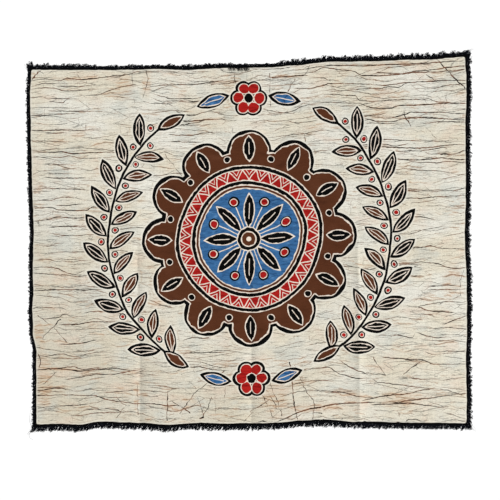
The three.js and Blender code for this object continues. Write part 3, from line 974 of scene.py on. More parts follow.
     (404, 732, 1.1), (427, 731, 0.9), (454, 742, 0.8), (537, 742, 0.5)],
    [(-524, 747, 0.8), (-470, 747, 1.2), (-417, 751, 0.9), (-371, 753, 1.0), (-334, 749, 0.8),
     (-300, 755, 0.4), (-190, 753, 0.4), (-163, 744, 0.9), (-126, 744, 0.9), (-101, 749, 0.8),
     (-66, 752, 0.6), (-50, 752, 0), (120, 757, 0), (133, 757, 0.5), (196, 755, 0.8), (217, 769, 0.9),
     (266, 779, 0.9), (290, 777, 0.6), (300, 776, 0), (370, 775, 0), (385, 775, 0.5), (430, 779, 0.5),
     (445, 780, 0)],
    [(-480, 745, 0), (-465, 743, 0.7), (-440, 740, 0.8), (-417, 748, 0.7), (-365, 750, 0.6),
     (-334, 746, 0.4), (-320, 745, 0), (218, 735, 0), (227, 739, 0.7), (246, 752, 0.9),
     (283, 765, 0.9), (295, 772, 0), (312, 787, 0.8), (341, 789, 0.8), (391, 795, 0.8), (440, 800, 0.6),
     (455, 802, 0)],
    [(-470, 774, 0), (-458, 772, 0.6), (-417, 765, 0.8), (-346, 765, 0.8), (-290, 753, 0.7),
     (-270, 750, 0), (270, 834, 0), (287, 830, 0.7), (329, 819, 0.9), (379, 815, 0.9), (425, 805, 0.7),
     (454, 801, 0.6), (470, 800, 0)],
    [(-535, 800, 0.8), (-487, 795, 0.9), (-462, 797, 0.7), (-440, 800, 0.3), (-290, 800, 0.3),
     (-250, 803, 0.6), (-210, 804, 0.5), (-190, 792, 0), (-115, 790, 0), (-101, 789, 0.7), (0, 790, 0.6),
     (30, 798, 0.6), (60, 798, 0.4), (75, 798, 0), (345, 836, 0), (358, 836, 0.9), (379, 831, 1.1),
     (446, 823, 0.9), (520, 813, 0.5), (537, 811, 0.3)],
    [(-531, 811, 1.1), (-511, 811, 0.9), (-499, 813, 0.5), (-433, 810, 0.8), (-400, 815, 0.8),
     (-359, 828, 0.8), (-326, 832, 0.8), (-290, 836, 0.7), (-242, 834, 1.0), (-209, 837, 1.2),
     (-184, 836, 0.6), (-172, 836, 0), (160, 812, 0), (175, 812, 0.5), (230, 814, 0.7), (262, 822, 0.7),
     (300, 825, 0.5), (315, 827, 0)],
    [(-515, 841, 0.5), (-470, 839, 0.9), (-421, 834, 0.8), (-405, 832, 0), (-372, 812, 0),
     (-359, 810, 0.7), (-326, 806, 0.8), (-290, 803, 0.4), (-275, 802, 0), (-80, 828, 0),
     (-40, 822, 0.5), (0, 824, 0.4), (12, 824, 0), (295, 842, 0), (308, 842, 0.9), (391, 836, 1.0),
     (425, 840, 0.8), (475, 846, 0.7), (488, 846, 0)],
    [(-455, 861, 0), (-437, 861, 0.7), (-363, 861, 0.8), (-290, 856, 0.5), (-230, 872, 0.4),
     (-200, 868, 0.5), (-150, 875, 0.3), (-130, 876, 0), (52, 884, 0), (67, 880, 0.8), (100, 870, 1.1),
     (137, 857, 1.2), (175, 852, 1.1), (230, 840, 1.1), (300, 836, 0.8), (318, 834, 0)],
]

# Single cracks up and down or aslant: across and down of both ends, and half of the width
SLANT_CRACKS = [
    (461, 2, 537, 88, 1.3), (-537, 33, -508, 3, 0.9), (-529, 27, -515, 6, 0.6), (-499, 19, -484, 7, 0.4),
    (-502, 122, -496, 98, 0.6), (53, 20, 54, 103, 0.7), (114, 38, 98, 66, 0.7), (98, 66, 87, 103, 0.7),
    (106, 44, 84, 100, 0.4), (141, 30, 151, 8, 0.6), (-250, 8, -247, 30, 0.6), (-247, 30, -258, 75, 0.5),
    (-285, 8, -283, 42, 0.4), (-34, 18, -30, 59, 0.6), (437, 42, 463, 58, 0.7), (379, 22, 400, 34, 0.6),
    (384, 128, 386, 141, 0.9), (386, 141, 400, 164, 0.9), (440, 172, 461, 197, 0.5),
    (139, 177, 140, 198, 0.6), (-208, 213, -134, 307, 0.6), (375, 438, 366, 455, 0.7),
    (530, 516, 518, 543, 0.7), (518, 543, 517, 577, 0.6), (517, 577, 468, 596, 0.5),
    (-522, 613, -491, 640, 0.8), (-491, 640, -470, 657, 0.7), (-470, 657, -456, 680, 0.7),
    (-516, 671, -466, 626, 0.7), (-532, 706, -525, 724, 0.8), (-525, 724, -526, 742, 0.8),
    (-518, 783, -503, 772, 0.7), (-503, 772, -485, 753, 0.7), (-68, 753, -121, 794, 0.8),
    (-121, 794, -142, 811, 0.8), (-142, 811, -163, 838, 0.9), (-163, 838, -180, 857, 0.7),
    (-209, 800, -210, 873, 0.9), (-200, 821, -151, 860, 0.6), (-283, 783, -282, 862, 0.5),
    (-154, 780, -136, 798, 0.6), (-132, 820, -121, 857, 0.6), (-97, 816, -121, 868, 0.6),
    (-127, 873, -119, 867, 1.4), (-91, 774, -88, 869, 0.35), (-66, 757, -68, 832, 0.3),
    (1, 857, -18, 880, 0.6), (-338, 821, -314, 841, 0.5), (-314, 841, -334, 873, 0.5),
    (-405, 840, -380, 852, 0.6), (97, 736, 103, 803, 1.7), (103, 803, 105, 843, 1.3),
    (105, 843, 115, 884, 0.9), (109, 745, 137, 814, 0.6), (137, 814, 155, 835, 0.9),
    (155, 835, 155, 884, 0.9), (157, 865, 178, 868, 1.0), (22, 769, 63, 848, 0.6),
    (15, 782, 55, 872, 0.5), (43, 774, 76, 865, 0.5), (-3, 853, 43, 828, 0.6),
    (305, 727, 334, 769, 0.7), (334, 769, 288, 763, 0.6), (427, 732, 380, 766, 0.9),
    (427, 731, 454, 716, 0.4), (380, 883, 391, 876, 0.9), (391, 876, 412, 875, 0.9),
    (412, 875, 431, 883, 0.9),
]


def crack_runs(place):
    """The listed long cracks, and how near a point is to one."""
    across, down = split(place)
    share = across * (1 / CLOTH_WIDTH) + 0.5
    down = down + noise(place, 24, 12, 3, 1) * 2.4
    worn = noise(place, 6, 4, 4, 1) * 0.9 + 1.4
    depth = None
    nearness = None
    for run in CRACK_RUNS:
        distance, half = crack_run(share, down, run)
        inside = half * worn - distance
        beside = half * 3 - distance
        depth = most(depth, inside)
        nearness = most(nearness, beside)
    return above(depth, *CRACK_EDGE), above(nearness, 0.8, 1.6)


# Orange stains of old dye: places across and down of their middles, and half of their lengths
STAINS = [
    (100, 30, 52, 7), (318, 24, 44, 26), (372, 12, 46, 8), (160, 852, 110, 16), (60, 820, 42, 60),
    (-178, 832, 48, 26), (-285, 820, 10, 46), (378, 826, 76, 26), (250, 824, 60, 18),
    (-512, 780, 22, 80), (-470, 748, 70, 8), (-250, 40, 14, 40), (-305, 46, 26, 40), (-88, 132, 34, 8),
    (-520, 660, 15, 46), (500, 545, 34, 56), (-450, 28, 50, 6),
]


def stains(place):
    """Where the orange stains lie, 1 in the middle of each."""
    moved = drift(place, 30, 20, 12, 9, 2)
    depth = None
    for across, down, half_across, half_down in STAINS:
        offset = vector("SUBTRACT", moved, (across, down, 0))
        share = number("LENGTH", vector("MULTIPLY", offset, (1 / half_across, 1 / half_down, 0)))
        depth = most(depth, 1.0 - share)
    return [ease(depth, -0.1, 0.6)]


def slant_cracks(place):
    """The listed cracks that run up and down or aslant."""
    bent = drift(drift(place, 50, 50, 10, 3.5), 15, 15, 13, 2.6)
    worn = noise(place, 6, 6, 4, 1) * 0.8 + noise(place, 20, 20, 14, 1) * 1.6
    depth = None
    for start_across, start_down, end_across, end_down, half in SLANT_CRACKS:
        distance = from_line(bent, (start_across, start_down), (end_across, end_down))
        depth = most(depth, half - distance)
    return [above(depth + worn, 0, 0.5)]


def level_cracks(place, across, down, worn, wander):
    """Rows of long cracks that come and go, and how near a point is to one."""
    busy = ease(noise(place, 150, 60, 7, 1), -0.28, -0.1)
    lines = None
    near = None
    for row, cracks in enumerate(LEVEL_CRACKS):
        own = noise(place, cracks["length"] * 1.6, cracks["pitch"] * 3, 31 + row, 0) * cracks["pitch"]
        level = down + across * cracks["slope"] + wander + own
        distance, shown = crack_rows(across, level, cracks, 11 + row)
        shown = shown * busy
        width = (worn + cracks["half"]) * shown
        lines = most(lines, above(width - distance, *CRACK_EDGE) * cracks["depth"])
        near = most(near, below(distance, 1.9, 2.0) * shown)
    return lines, near


def net_cracks(place, jagged, worn, lines):
    """The lines with nets of short branching cracks over them."""
    for row, net in enumerate(CRACK_NETS):
        distance, level = crack_net(jagged, net["across"], net["down"], 21 + row)
        patch = noise(place, net["across"], net["down"], 25 + row, 1)
        shown = ease(patch, net["from"], net["from"] + 0.08) * ease(level, net["level"], 0.95)
        width = (worn + net["half"]) * shown
        lines = most(lines, above(width - distance, *CRACK_EDGE) * net["depth"])
    return lines


def upright_cracks(place, across, down, worn, lines):
    """The lines with patches of short cracks up and down over them."""
    patch = ease(noise(place, 130, 60, 8, 1), 0.08, 0.16)
    sideways = across + noise(place, 20, 60, 9, 1) * 22
    distance, shown = crack_rows(down, sideways, UPRIGHT_CRACKS, 17)
    width = (worn + UPRIGHT_CRACKS["half"]) * shown * patch
    return most(lines, above(width - distance, *CRACK_EDGE) * UPRIGHT_CRACKS["depth"])


def crackle(place):
    """How deep the dark dye is in the cracks, and how near a point is to a strong crack."""
    jagged = drift(place, 11, 7, 5, 1.3, 2)
    across, down = split(jagged)
    wander = noise(place, 340, 120, 1, 0) * 22 + noise(place, 90, 36, 2, 1) * 6
    wander = wander + noise(place, 24, 12, 3, 1) * 2.4
    worn = noise(place, 6, 4, 4, 1) * 0.7
    lines, near = level_cracks(place, across, down, worn, wander)
    lines = net_cracks(place, jagged, worn, lines)
    placed_lines, placed_near = use_group("crack_runs", jagged)
    slant_lines = use_group("slant_cracks", jagged)[0]
    lines = most(lines, placed_lines, slant_lines)
    lines = upright_cracks(place, across, down, worn, lines)
    return lines, most(near, placed_near)


# Dyes

# The cream ground and the colours laid over it, one of them a duller cream towards the lower left
CREAM = srgb(233, 231, 220)
DULL_CREAM = srgb(226, 219, 200)
LOWER_LEFT_CREAM = srgb(200, 191, 171)
COOL_CREAM = srgb(204, 207, 199)
WARM_CREAM = srgb(226, 202, 182)
CLEAN_CREAM = srgb(246, 243, 232)
TAN_STAIN = srgb(202, 156, 114)
DIRT = srgb(194, 174, 142)
TIDE_MARK = srgb(178, 150, 118)
WAX_LINE = srgb(232, 228, 216)
BROWN_INK = srgb(114, 78, 58)
BLACK_INK = srgb(38, 27, 22)

# The dyed fields: their colours, the size of the mottle, how far the crackle shows, and how far
# the strip beside a strong crack is darkened
FIELDS = {
    "brown": {"plain": srgb(88, 50, 32), "dark": srgb(73, 40, 25), "light": srgb(99, 59, 41),
              "mottle": 60, "crack": srgb(56, 29, 19), "lines": 0.22, "near": 0},
    "red": {"plain": srgb(172, 33, 30), "dark": srgb(142, 22, 20), "light": srgb(186, 46, 42),
            "mottle": 30, "crack": srgb(96, 12, 12), "lines": 0.8, "near": 0.25},
    "blue": {"plain": srgb(60, 108, 158), "dark": srgb(40, 80, 124), "light": srgb(94, 142, 190),
             "mottle": 20, "crack": srgb(20, 44, 82), "lines": 0.8, "near": 0.25},
    "black": {"plain": srgb(9, 9, 9), "dark": srgb(5, 5, 5), "light": srgb(19, 19, 22),
              "mottle": 24, "crack": srgb(40, 36, 36), "lines": 0.1, "near": 0},
}


def uneven_ground(place):
    """Uneven cream cotton, duller towards the lower left, with cool and warm patches."""
    x, down = split(place)
    colour = paint(CREAM, DULL_CREAM, ease(noise(place, 150, 90, 51, 3), -0.2, 0.2))
    # The cream is painted duller and darker towards the lower left
    lower_left = ease(down - x * 0.5 + noise(place, 260, 200, 52) * 420, 420, 1100, 0, 0.6)
    colour = paint(colour, LOWER_LEFT_CREAM, lower_left)
    patches = noise(place, 80, 46, 59, 3)
    colour = paint(colour, COOL_CREAM, ease(patches, 0.03, 0.22, 0, 0.55))
    colour = paint(colour, WARM_CREAM, ease(patches, -0.05, -0.24, 0, 0.35))
    threads = noise(place, 40, 2.4, 53, 2) + noise(place, 2.4, 40, 58, 2)
    return scaled(colour, threads * 0.16 + noise(place, 3.2, 3.2, 54, 1) * 0.34 + 1.0)


def ground_dye(place, lines, near, wax):
    """The ground with tan stains beside the cracks, and the cracks. wax is 1 where a thick wax
    line kept the cloth clean."""
    colour = scaled(uneven_ground(place), near * 0.05 + 1.0)
    beside_cracks = near * ease(noise(place, 70, 26, 55, 2), 0.02, 0.2)
    placed = use_group("stains", place)[0]
    stain = most(beside_cracks * 0.45, placed * (near * 0.45 + 0.15))
    colour = paint(colour, TAN_STAIN, stain)
    colour = paint(colour, DIRT, ease(noise(place, 30, 9, 56, 3), 0.12, 0.34, 0, 0.22))
    colour = paint(colour, CLEAN_CREAM, wax * 0.5)
    ink = paint(BROWN_INK, BLACK_INK, ease(noise(place, 26, 10, 57, 1), -0.16, 0.07))
    return paint(colour, ink, lines * (wax * -0.75 + 1.0))


def field_dye(place, lines, near, field):
    """A dyed field: its plain colour, mottled, with the crackle darker."""
    size = field["mottle"]
    lit = ease(noise(place, size, size * 0.6, 61, 3), 0.0, 0.4)
    shaded = ease(noise(place, size * 0.7, size * 0.4, 62, 3), 0.0, 0.4)
    colour = paint(paint(field["plain"], field["light"], lit), field["dark"], shaded)
    colour = scaled(colour, noise(place, 2.4, 2.4, 63, 1) * 0.3 + 1.0)
    if field["near"] > 0:
        lines = most(lines, near * field["near"])
    return paint(colour, field["crack"], lines * field["lines"])


def mix_dyes(place, lines, near, wax):
    """The colours to draw with, and two soft noises that make the drawn lines uneven."""
    dyes = {name: field_dye(place, lines, near, field) for name, field in FIELDS.items()}
    dyes["ground"] = ground_dye(place, lines, near, wax)
    dyes["resist"] = paint(srgb(238, 226, 212), srgb(206, 186, 168), ease(noise(place, 9, 9, 64), 0, 0.3))
    dyes["hand"] = noise(place, 34, 34, 67, 1) * 2
    dyes["pull"] = noise(place, 11, 11, 68, 1) * 2
    return dyes


# Drawing with dyes: each shape is a distance, below zero inside it

LINE_EDGE = 0.35


def leaf(u, v, half_length, half_width):
    """A pointed leaf along u, made of two arcs."""
    drop = (half_length**2 - half_width**2) / (2 * half_width)
    return reach(u, size_of(v) + drop) - (half_width + drop)


def turned(u, v, angle):
    """Coordinates turned so that u runs along a direction at this angle."""
    cosine = math.cos(angle)
    sine = math.sin(angle)
    return u * cosine + v * sine, v * cosine - u * sine


def sector(radius, angle, count, start):
    """Coordinates within one of count equal sectors: out along its middle, and sideways."""
    step = 2 * math.pi / count
    local = (calculate("FRACT", calculate("MULTIPLY_ADD", angle, 1 / step, start)) - 0.5) * step
    return radius * calculate("COSINE", local), radius * calculate("SINE", local)


def outlined(colour, dyes, distance, fill, black, resist):
    """A shape as it is drawn in wax: a black outline, a clean line inside it, and its field."""
    inner = calculate("MULTIPLY_ADD", dyes["hand"], black * 0.7, distance)
    colour = paint(colour, dyes["black"], below(distance, 0, LINE_EDGE))
    colour = paint(colour, dyes["resist"], below(inner, -black, LINE_EDGE))
    inner = calculate("MULTIPLY_ADD", dyes["pull"], resist * 0.8, inner)
    return paint(colour, dyes[fill], below(inner, -black - resist, LINE_EDGE))


def reserved(colour, dyes, distance, fill, resist):
    """A shape on a dyed field: a clean line round its own field."""
    inner = calculate("MULTIPLY_ADD", dyes["pull"], resist * 0.8, distance)
    colour = paint(colour, dyes["resist"], below(distance, 0, LINE_EDGE))
    return paint(colour, dyes[fill], below(inner, -resist, LINE_EDGE))


# Sizes of the ornament, whose middle lies this far down the cloth
ORNAMENT_DOWN = 428
MEDALLION = {"lobes": 12, "lobe_out": 212, "lobe": 56, "body": 226}
LOBE_PETAL = {"out": 222, "half_length": 33, "half_width": 14.5}
LOBE_DOT = {"out": 203, "radius": 9}
BAND = {"outer": 180, "inner": 134, "border": 8, "zigzags": 34}
ROSETTE = {"petals": 8, "petal_out": 70, "half_length": 45, "half_width": 15,
           "bud_out": 97, "bud": 13.5, "ring": 31, "heart": 20, "eye": 6}
SPRAY = {"radius": 350, "pitch": 62, "pairs": 10, "half_length": 39, "half_width": 15.5, "slant": 50}
END_FLOWER = {"away": 346, "petals": 6, "petal_out": 26, "petal": 20, "heart": 13}
END_LEAF = {"out": 74, "half_length": 42, "half_width": 17, "slant": 14}
VEIN = 1.0
OUTLINE = 8.0
THIN_OUTLINE = 5.4
RESIST = 2.7
THIN_RESIST = 2.1


def spray_shapes(x, y):
    """Distances of the leaves, veins, berries, stem and tips of the two curved sprays beside the
    medallion, and whether a point is on a spray's inner side."""
    radius = reach(x, y)
    angle = calculate("ARCTAN2", y, size_of(x))
    along = angle * SPRAY["radius"]
    aside = radius - SPRAY["radius"]
    pitch = SPRAY["pitch"]
    inner = below(aside, 0, 0.01)
    cells = calculate("MULTIPLY_ADD", along, 1 / pitch, inner * 0.5)
    cell = calculate("FLOOR", cells)
    local = (cells - cell - 0.5) * pitch
    beyond = (size_of(cell + 0.5) - SPRAY["pairs"] / 2 + 0.2) * pitch
    half = SPRAY["half_length"]
    u, v = turned(local + 26, size_of(aside) - 3, math.radians(SPRAY["slant"]))
    leaves = most(leaf(u - half, v, half, SPRAY["half_width"]), beyond)
    veins = most(size_of(v) - VEIN, size_of(u - half * 0.9) - half * 0.62, beyond)
    berries = most(reach(local - 23, size_of(aside) - 16) - 9, beyond)
    half_span = SPRAY["pairs"] / 2 * pitch
    stem = most(size_of(aside) - 3.0, size_of(along) - half_span - 6)
    tips = leaf(size_of(along) - half_span - half, aside, half, SPRAY["half_width"])
    return leaves, veins, berries, stem, tips, inner


def end_shapes(x, y):
    """Distances of the flowers above and below the medallion, and of the leaves beside them."""
    rise = size_of(y) - END_FLOWER["away"]
    radius = reach(x, rise)
    angle = calculate("ARCTAN2", rise, x)
    u, v = sector(radius, angle, END_FLOWER["petals"], 0.5)
    petals = reach(u - END_FLOWER["petal_out"], v) - END_FLOWER["petal"]
    heart = radius - END_FLOWER["heart"]
    u, v = turned(size_of(x) - END_LEAF["out"], rise, math.radians(-END_LEAF["slant"]))
    half = END_LEAF["half_length"]
    leaves = leaf(u - half * 0.35, v, half, END_LEAF["half_width"])
    veins = most(size_of(v) - VEIN, size_of(u - half * 0.35) - half * 0.55)
    return petals, heart, leaves, veins


def medallion_outline(radius, angle):
    """Distance of the lobed outline, and the place within the nearest lobe."""
    u, v = sector(radius, angle, MEDALLION["lobes"], 0.5)
    lobes = reach(u - MEDALLION["lobe_out"], v) - MEDALLION["lobe"]
    return least(lobes, radius - MEDALLION["body"]), u, v


def draw_band(colour, dyes, radius, angle):
    """The red band between black borders, with a cream zigzag and chevrons beside it."""
    half = (BAND["outer"] - BAND["inner"]) / 2
    middle = BAND["inner"] + half
    off_middle = radius - middle
    from_middle = size_of(off_middle)
    colour = reserved(colour, dyes, from_middle - half - RESIST, "black", RESIST)
    colour = reserved(colour, dyes, from_middle - half + BAND["border"], "red", RESIST)
    swing = half - BAND["border"] - RESIST
    turns = calculate("FRACT", angle * (BAND["zigzags"] / (2 * math.pi)))
    zigzag = size_of(turns - 0.5) * (4 * swing) - swing
    slope = 4 * swing * BAND["zigzags"] / (2 * math.pi * middle)
    offset = (off_middle - zigzag) * (1 / math.hypot(1, slope))
    offset = calculate("MULTIPLY_ADD", dyes["pull"], 0.7, offset)
    kept = below(from_middle, swing + 0.6, 0.6)
    line = below(size_of(offset), 1.25, LINE_EDGE)
    chevrons = below(size_of(offset - 6.4), 0.8, LINE_EDGE)
    return paint(colour, dyes["resist"], most(line, chevrons) * kept)


def draw_rosette(colour, dyes, radius, angle):
    """The blue middle with black petals, red buds and a small brown heart."""
    colour = reserved(colour, dyes, radius - BAND["inner"] + BAND["border"], "blue", RESIST)
    u, v = sector(radius, angle, ROSETTE["petals"], 0.0)
    stalks = most(size_of(v) - VEIN * 1.2, size_of(u - 58) - 28)
    colour = paint(colour, dyes["resist"], below(stalks, 0, LINE_EDGE))
    buds = reach(u - ROSETTE["bud_out"], v) - ROSETTE["bud"]
    colour = outlined(colour, dyes, buds, "red", 3.6, 2.0)
    u, v = sector(radius, angle, ROSETTE["petals"], 0.5)
    petals = leaf(u - ROSETTE["petal_out"], v, ROSETTE["half_length"], ROSETTE["half_width"])
    colour = reserved(colour, dyes, petals, "black", RESIST)
    veins = most(size_of(v) - VEIN, size_of(u - ROSETTE["petal_out"]) - 20)
    colour = paint(colour, dyes["resist"], below(veins, 0, LINE_EDGE))
    colour = reserved(colour, dyes, radius - ROSETTE["ring"], "black", RESIST)
    colour = reserved(colour, dyes, radius - ROSETTE["heart"], "brown", RESIST)
    return paint(colour, dyes["resist"], below(radius, ROSETTE["eye"], LINE_EDGE))


def draw_lobes(colour, dyes, radius, angle, u, v):
    """On the brown of the medallion: a black petal in each lobe and a ringed dot between."""
    half = LOBE_PETAL["half_length"]
    petals = leaf(u - LOBE_PETAL["out"], v, half, LOBE_PETAL["half_width"])
    colour = reserved(colour, dyes, petals, "black", RESIST)
    veins = most(size_of(v) - VEIN, size_of(u - LOBE_PETAL["out"]) - half * 0.45)
    colour = paint(colour, dyes["resist"], below(veins, 0, LINE_EDGE))
    u, v = sector(radius, angle, MEDALLION["lobes"], 0.0)
    dots = reach(u - LOBE_DOT["out"], v) - LOBE_DOT["radius"]
    return reserved(colour, dyes, dots, "black", THIN_RESIST)


def draw_sprays(colour, dyes, shapes):
    """The two sprays: black leaves outside and brown ones inside, with red berries."""
    leaves, veins, berries, stem, tips, inner = shapes
    colour = paint(colour, dyes["black"], below(stem, 0, LINE_EDGE))
    dyes["spray"] = paint(dyes["black"], dyes["brown"], inner)
    colour = outlined(colour, dyes, leaves, "spray", THIN_OUTLINE, THIN_RESIST)
    colour = paint(colour, dyes["resist"], below(veins, 0, LINE_EDGE))
    colour = outlined(colour, dyes, tips, "brown", THIN_OUTLINE, THIN_RESIST)
    return outlined(colour, dyes, berries, "red", 3.2, 1.6)


def draw_ends(colour, dyes, shapes):
    """The red flowers above and below the medallion, between blue leaves."""
    petals, heart, leaves, veins = shapes
    colour = outlined(colour, dyes, leaves, "blue", THIN_OUTLINE, THIN_RESIST)
    colour = paint(colour, dyes["resist"], below(veins, 0, LINE_EDGE))
    colour = outlined(colour, dyes, petals, "red", THIN_OUTLINE, THIN_RESIST)
    return reserved(colour, dyes, heart, "black", THIN_RESIST)


def draw_ornament(place):
    """Colour of the dyed cloth, a medallion between two sprays on crackled cream, and its dyes."""
    lines, near = crackle(place)
    drawn = drift(place, 140, 140, 71, 5.5)
    drawn = drift(drawn, 32, 32, 74, 1.3)
    drawn = drift(drawn, 9, 9, 72, 0.5)
    x, down = split(drawn)
    y = ORNAMENT_DOWN - down
    radius = reach(x, y)
    angle = calculate("ARCTAN2", y, x)
    medallion, lobe_u, lobe_v = medallion_outline(radius, angle)
    leaves, veins, berries, stem, tips, inner = spray_shapes(x, y)
    petals, heart, end_leaves, end_veins = end_shapes(x, y)
    nearest = least(medallion, leaves, berries, stem, tips, petals, end_leaves)
    wax = below(nearest, 3.0, 3.0)
    edge_tide = below(size_of(nearest - 7.5), 0.7, 1.0) * ease(noise(place, 24, 24, 73), 0, 0.25)
    dyes = mix_dyes(place, lines, near, wax)
    colour = paint(dyes["ground"], TIDE_MARK, edge_tide * 0.6)
    colour = draw_sprays(colour, dyes, (leaves, veins, berries, stem, tips, inner))
    colour = draw_ends(colour, dyes, (petals, heart, end_leaves, end_veins))
    colour = outlined(colour, dyes, medallion, "brown", OUTLINE, RESIST)
    colour = draw_lobes(colour, dyes, radius, angle, lobe_u, lobe_v)
    colour = draw_band(colour, dyes, radius, angle)
    colour = draw_rosette(colour, dyes, radius, angle)
    return colour, dyes


# The black border: its width, the wax line inside it and how round its inner corners are
BORDER = 5.4
BORDER_WAX = 3.0
BORDER_ROUNDING = 9


def draw_border(colour, dyes, place):
    """The black edge of the cloth, with a clean wax line inside it."""
    x, down = split(place)
    from_side = CLOTH_WIDTH / 2 - size_of(x)
    from_end = CLOTH_HEIGHT / 2 - size_of(down - CLOTH_HEIGHT / 2)
    into_corner = reach(most(BORDER_ROUNDING - from_side, 0), most(BORDER_ROUNDING - from_end, 0))
    beyond = most(least(from_side, from_end) - BORDER_ROUNDING, 0)
    inward = beyond - into_corner + BORDER_ROUNDING
    inward = inward + noise(place, 44, 44, 83, 0) * 2.6 + noise(place, 14, 14, 81, 2) * 1.8
    inward = inward - ease(noise(place, 26, 26, 82, 1), 0.24, 0.34, 0, 2.6)
    colour = paint(colour, WAX_LINE, below(inward, BORDER + BORDER_WAX, 1.2) * 0.45)
    return paint(colour, dyes["black"], below(inward, BORDER, LINE_EDGE))


# Materials

def new_material(name):
    """A material with one principled shader, and that shader."""
    material = bpy.data.materials.new(name)
    material.use_nodes = True
    tree = material.node_tree
    tree.nodes.clear()
    shader = tree.nodes.new("ShaderNodeBsdfPrincipled")
    output = tree.nodes.new("ShaderNodeOutputMaterial")
    tree.links.new(shader.outputs[0], output.inputs[0])
    return material, shader


def bump(height, strength, distance, below_it=None):
    """A surface's normal with this relief over it, or over the relief below it."""
    node = height.new_node("ShaderNodeBump")
    node.inputs["Strength"].default_value = strength
    node.inputs["Distance"].default_value = distance * MM
    feed(node.inputs["Height"], height)
    if below_it is not None:
        feed(node.inputs["Normal"], below_it)
    return Field(node.outputs[0])


def cut_cloth_place(tree):
    """The place on the cut cloth in millimetres: across from the middle, and down from the top."""
    node = tree.nodes.new("ShaderNodeUVMap")
    node.uv_map = "cut_cloth"
    return vector("MULTIPLY", Field(node.outputs[0]), (1 / MM, 1 / MM, 0))


# From one thread of the weave to the next
THREAD_PITCH = 0.62


def weave_height(place):
    """Plain weave with uneven threads: warp and weft rise in turn."""
    uneven = drift(place, 3.4, 3.4, 91, 0.4)
    x, down = split(uneven)
    warp = calculate("SINE", x * (math.pi / THREAD_PITCH))
    weft = calculate("SINE", down * (math.pi / THREAD_PITCH))
    threads = warp * weft * 0.5 + size_of(warp) * 0.25 + size_of(weft) * 0.25
    slubs = noise(place, 2.2, 26, 92, 1) + noise(place, 30, 2.0, 93, 1)
    return threads * 0.5 + slubs * 1.6


def draw_cloth(place):
    """Colour of the cloth's face, and of its ground alone."""
    colour, dyes = draw_ornament(place)
    return draw_border(colour, dyes, place), dyes["ground"]


def cloth_material(name, fade):
    """Dyed cotton. fade is how much paler the dyes are than on the face."""
    material, shader = new_material(name)
    place = cut_cloth_place(material.node_tree)
    colour, ground = use_group("dyed_cloth", place)
    if fade > 0:
        pale = paint(ground, srgb(206, 196, 176), above(noise(place, 8, 8, 95, 2), 0, 0.4) * 0.3)
        colour = paint(colour, pale, noise(place, 40, 30, 94, 3) * 0.3 + fade)
    feed(shader.inputs["Base Color"], colour)
    feed(shader.inputs["Roughness"], noise(place, 12, 12, 96, 2) * 0.16 + 0.86)
    shader.inputs["IOR"].default_value = 1.1
    wrinkles = noise(place, 60, 22, 97, 2) + noise(place, 16, 9, 98, 2) * 0.4
    slow = bump(wrinkles, 1.0, 1.6)
    feed(shader.inputs["Normal"], bump(weave_height(place), 0.5, 0.16, slow))
    return material


def yarn_material():
    """Black yarn: fibres along each strand, pale grey flecks that are painted highlights, and a bluish
    sheen.
    """
    material, shader = new_material("black_yarn")
    tree = material.node_tree
    spot = tree.nodes.new("ShaderNodeTexCoord")
    place = vector("MULTIPLY", Field(spot.outputs["Object"]), (1 / MM, 1 / MM, 1 / MM))
    mottle = solid_noise(place, 6, 2)
    fine = solid_noise(place, 0.7, 1)
    colour = paint(srgb(7, 8, 11), srgb(24, 26, 33), ease(mottle, -0.1, 0.25))
    # Pale grey flecks over the yarn: painted highlight
    colour = paint(colour, srgb(92, 92, 98), ease(fine, 0.22, 0.34) * 0.3)
    feed(shader.inputs["Base Color"], colour)
    feed(shader.inputs["Roughness"], fine * 0.3 + 0.62)
    shader.inputs["IOR"].default_value = 1.16
    shader.inputs["Specular Tint"].default_value = srgb(206, 216, 240)
    feed(shader.inputs["Normal"], bump(fine, 0.5, 0.12))
    return material


def solid_noise(place, size, detail):
    """Soft noise in space from about -0.5 to 0.5, with features of this size."""
    node = noise_texture(place, detail, "3D")
    node.inputs["Scale"].default_value = 1 / size
    feed(node.inputs["Vector"], place)
    return Field(node.outputs["Fac"]) - 0.5


def plain_material(name, colour, roughness):
    material, shader = new_material(name)
    shader.inputs["Base Color"].default_value = colour
    shader.inputs["Roughness"].default_value = roughness
    return material


# Studio: the part of the scene that the camera takes in, in metres, the floor and the lights

VIEW_MIDDLE = (0.0017, 0.0, -0.4548)
VIEW_WIDTH = 1.236
VIEW_AWAY = 4.0
FLOOR_LEVEL = -1.5
FLOOR_RADIUS = 1.9
FLOOR_CORNERS = 96
AMBIENT = 0.42
BACKDROP = 1.05
KEY = {"place": (-2.8, -3.2, 1.7), "strength": 2.45, "spread": 22}
REAR = {"place": (1.6, 3.4, 1.4), "strength": 1.0, "spread": 40}


def aim(thing, target):
    """Turns a camera or a light towards a place."""
    direction = np.array(target) - np.array(thing.location)
    flat = math.hypot(direction[0], direction[1])
    thing.rotation_euler = (
        math.pi / 2 + math.atan2(direction[2], flat), 0, math.atan2(-direction[0], direction[1]),
    )


def make_camera():
    data = bpy.data.cameras.new("camera")
    data.sensor_width = 36
    data.lens = data.sensor_width * VIEW_AWAY / VIEW_WIDTH
    camera = bpy.data.objects.new("camera", data)
    camera.location = (VIEW_MIDDLE[0], -VIEW_AWAY, VIEW_MIDDLE[2])
    bpy.context.scene.collection.objects.link(camera)
    aim(camera, VIEW_MIDDLE)
    bpy.context.scene.camera = camera


def make_light(name, facts):
    """A wide soft light, far enough off to be even over the cloth."""
    data = bpy.data.lights.new(name, "SUN")
    data.energy = facts["strength"]
    data.angle = math.radians(facts["spread"])
    data.color = (1, 0.99, 0.97)
    light = bpy.data.objects.new(name, data)
    light.location = facts["place"]
    bpy.context.scene.collection.objects.link(light)
    aim(light, VIEW_MIDDLE)


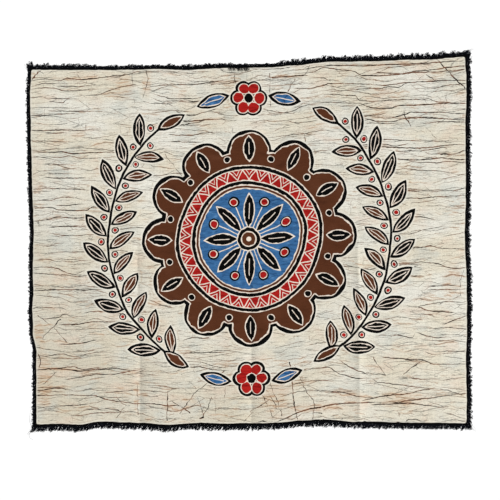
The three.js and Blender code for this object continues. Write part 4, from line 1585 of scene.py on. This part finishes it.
def make_world():
    """White surroundings, dimmer as a light than as a backdrop."""
    world = bpy.data.worlds.new("studio")
    world.use_nodes = True
    tree = world.node_tree
    tree.nodes.clear()
    background = tree.nodes.new("ShaderNodeBackground")
    output = tree.nodes.new("ShaderNodeOutputWorld")
    tree.links.new(background.outputs[0], output.inputs[0])
    background.inputs["Color"].default_value = (1, 1, 1, 1)
    path = tree.nodes.new("ShaderNodeLightPath")
    seen = Field(path.outputs["Is Camera Ray"])
    feed(background.inputs["Strength"], seen * (BACKDROP - AMBIENT) + AMBIENT)
    bpy.context.scene.world = world


def make_floor():
    angles = np.arange(FLOOR_CORNERS) * 2 * math.pi / FLOOR_CORNERS
    rim = np.stack([np.cos(angles), np.sin(angles), 0 * angles], axis=-1) * FLOOR_RADIUS
    vertices = (rim + np.array([0, 0, FLOOR_LEVEL])) / MM
    floor = new_piece("floor", vertices, [list(range(FLOOR_CORNERS))])
    floor.data.materials.append(plain_material("pale_floor", (0.8, 0.8, 0.79, 1), 0.8))


def make_groups():
    """Node groups that both of the cloth's materials share."""
    number_kind = "NodeSocketFloat"
    colour_kind = "NodeSocketColor"
    make_group("crack_runs", crack_runs, [("lines", number_kind), ("near", number_kind)])
    make_group("slant_cracks", slant_cracks, [("lines", number_kind)])
    make_group("stains", stains, [("depth", number_kind)])
    make_group("dyed_cloth", draw_cloth, [("colour", colour_kind), ("ground", colour_kind)])


def make_hanging():
    """The cloth and its four fringes, each in place of its own solid."""
    make_groups()
    cloth = make_cloth()
    cloth.data.materials.append(cloth_material("dyed_cotton", 0))
    cloth.data.materials.append(cloth_material("dyed_cotton_back", 0.2))
    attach(cloth, "root")
    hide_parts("cloth")
    yarn = yarn_material()
    for seed, fringe in enumerate(FRINGES):
        piece = make_fringe(fringe, seed)
        piece.data.materials.append(yarn)
        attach(piece, "root")
        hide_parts(fringe["node"])


make_camera()
make_world()
make_light("key_light", KEY)
make_light("rear_light", REAR)
make_floor()
make_hanging()
bpy.context.scene.view_settings.view_transform = "Standard"
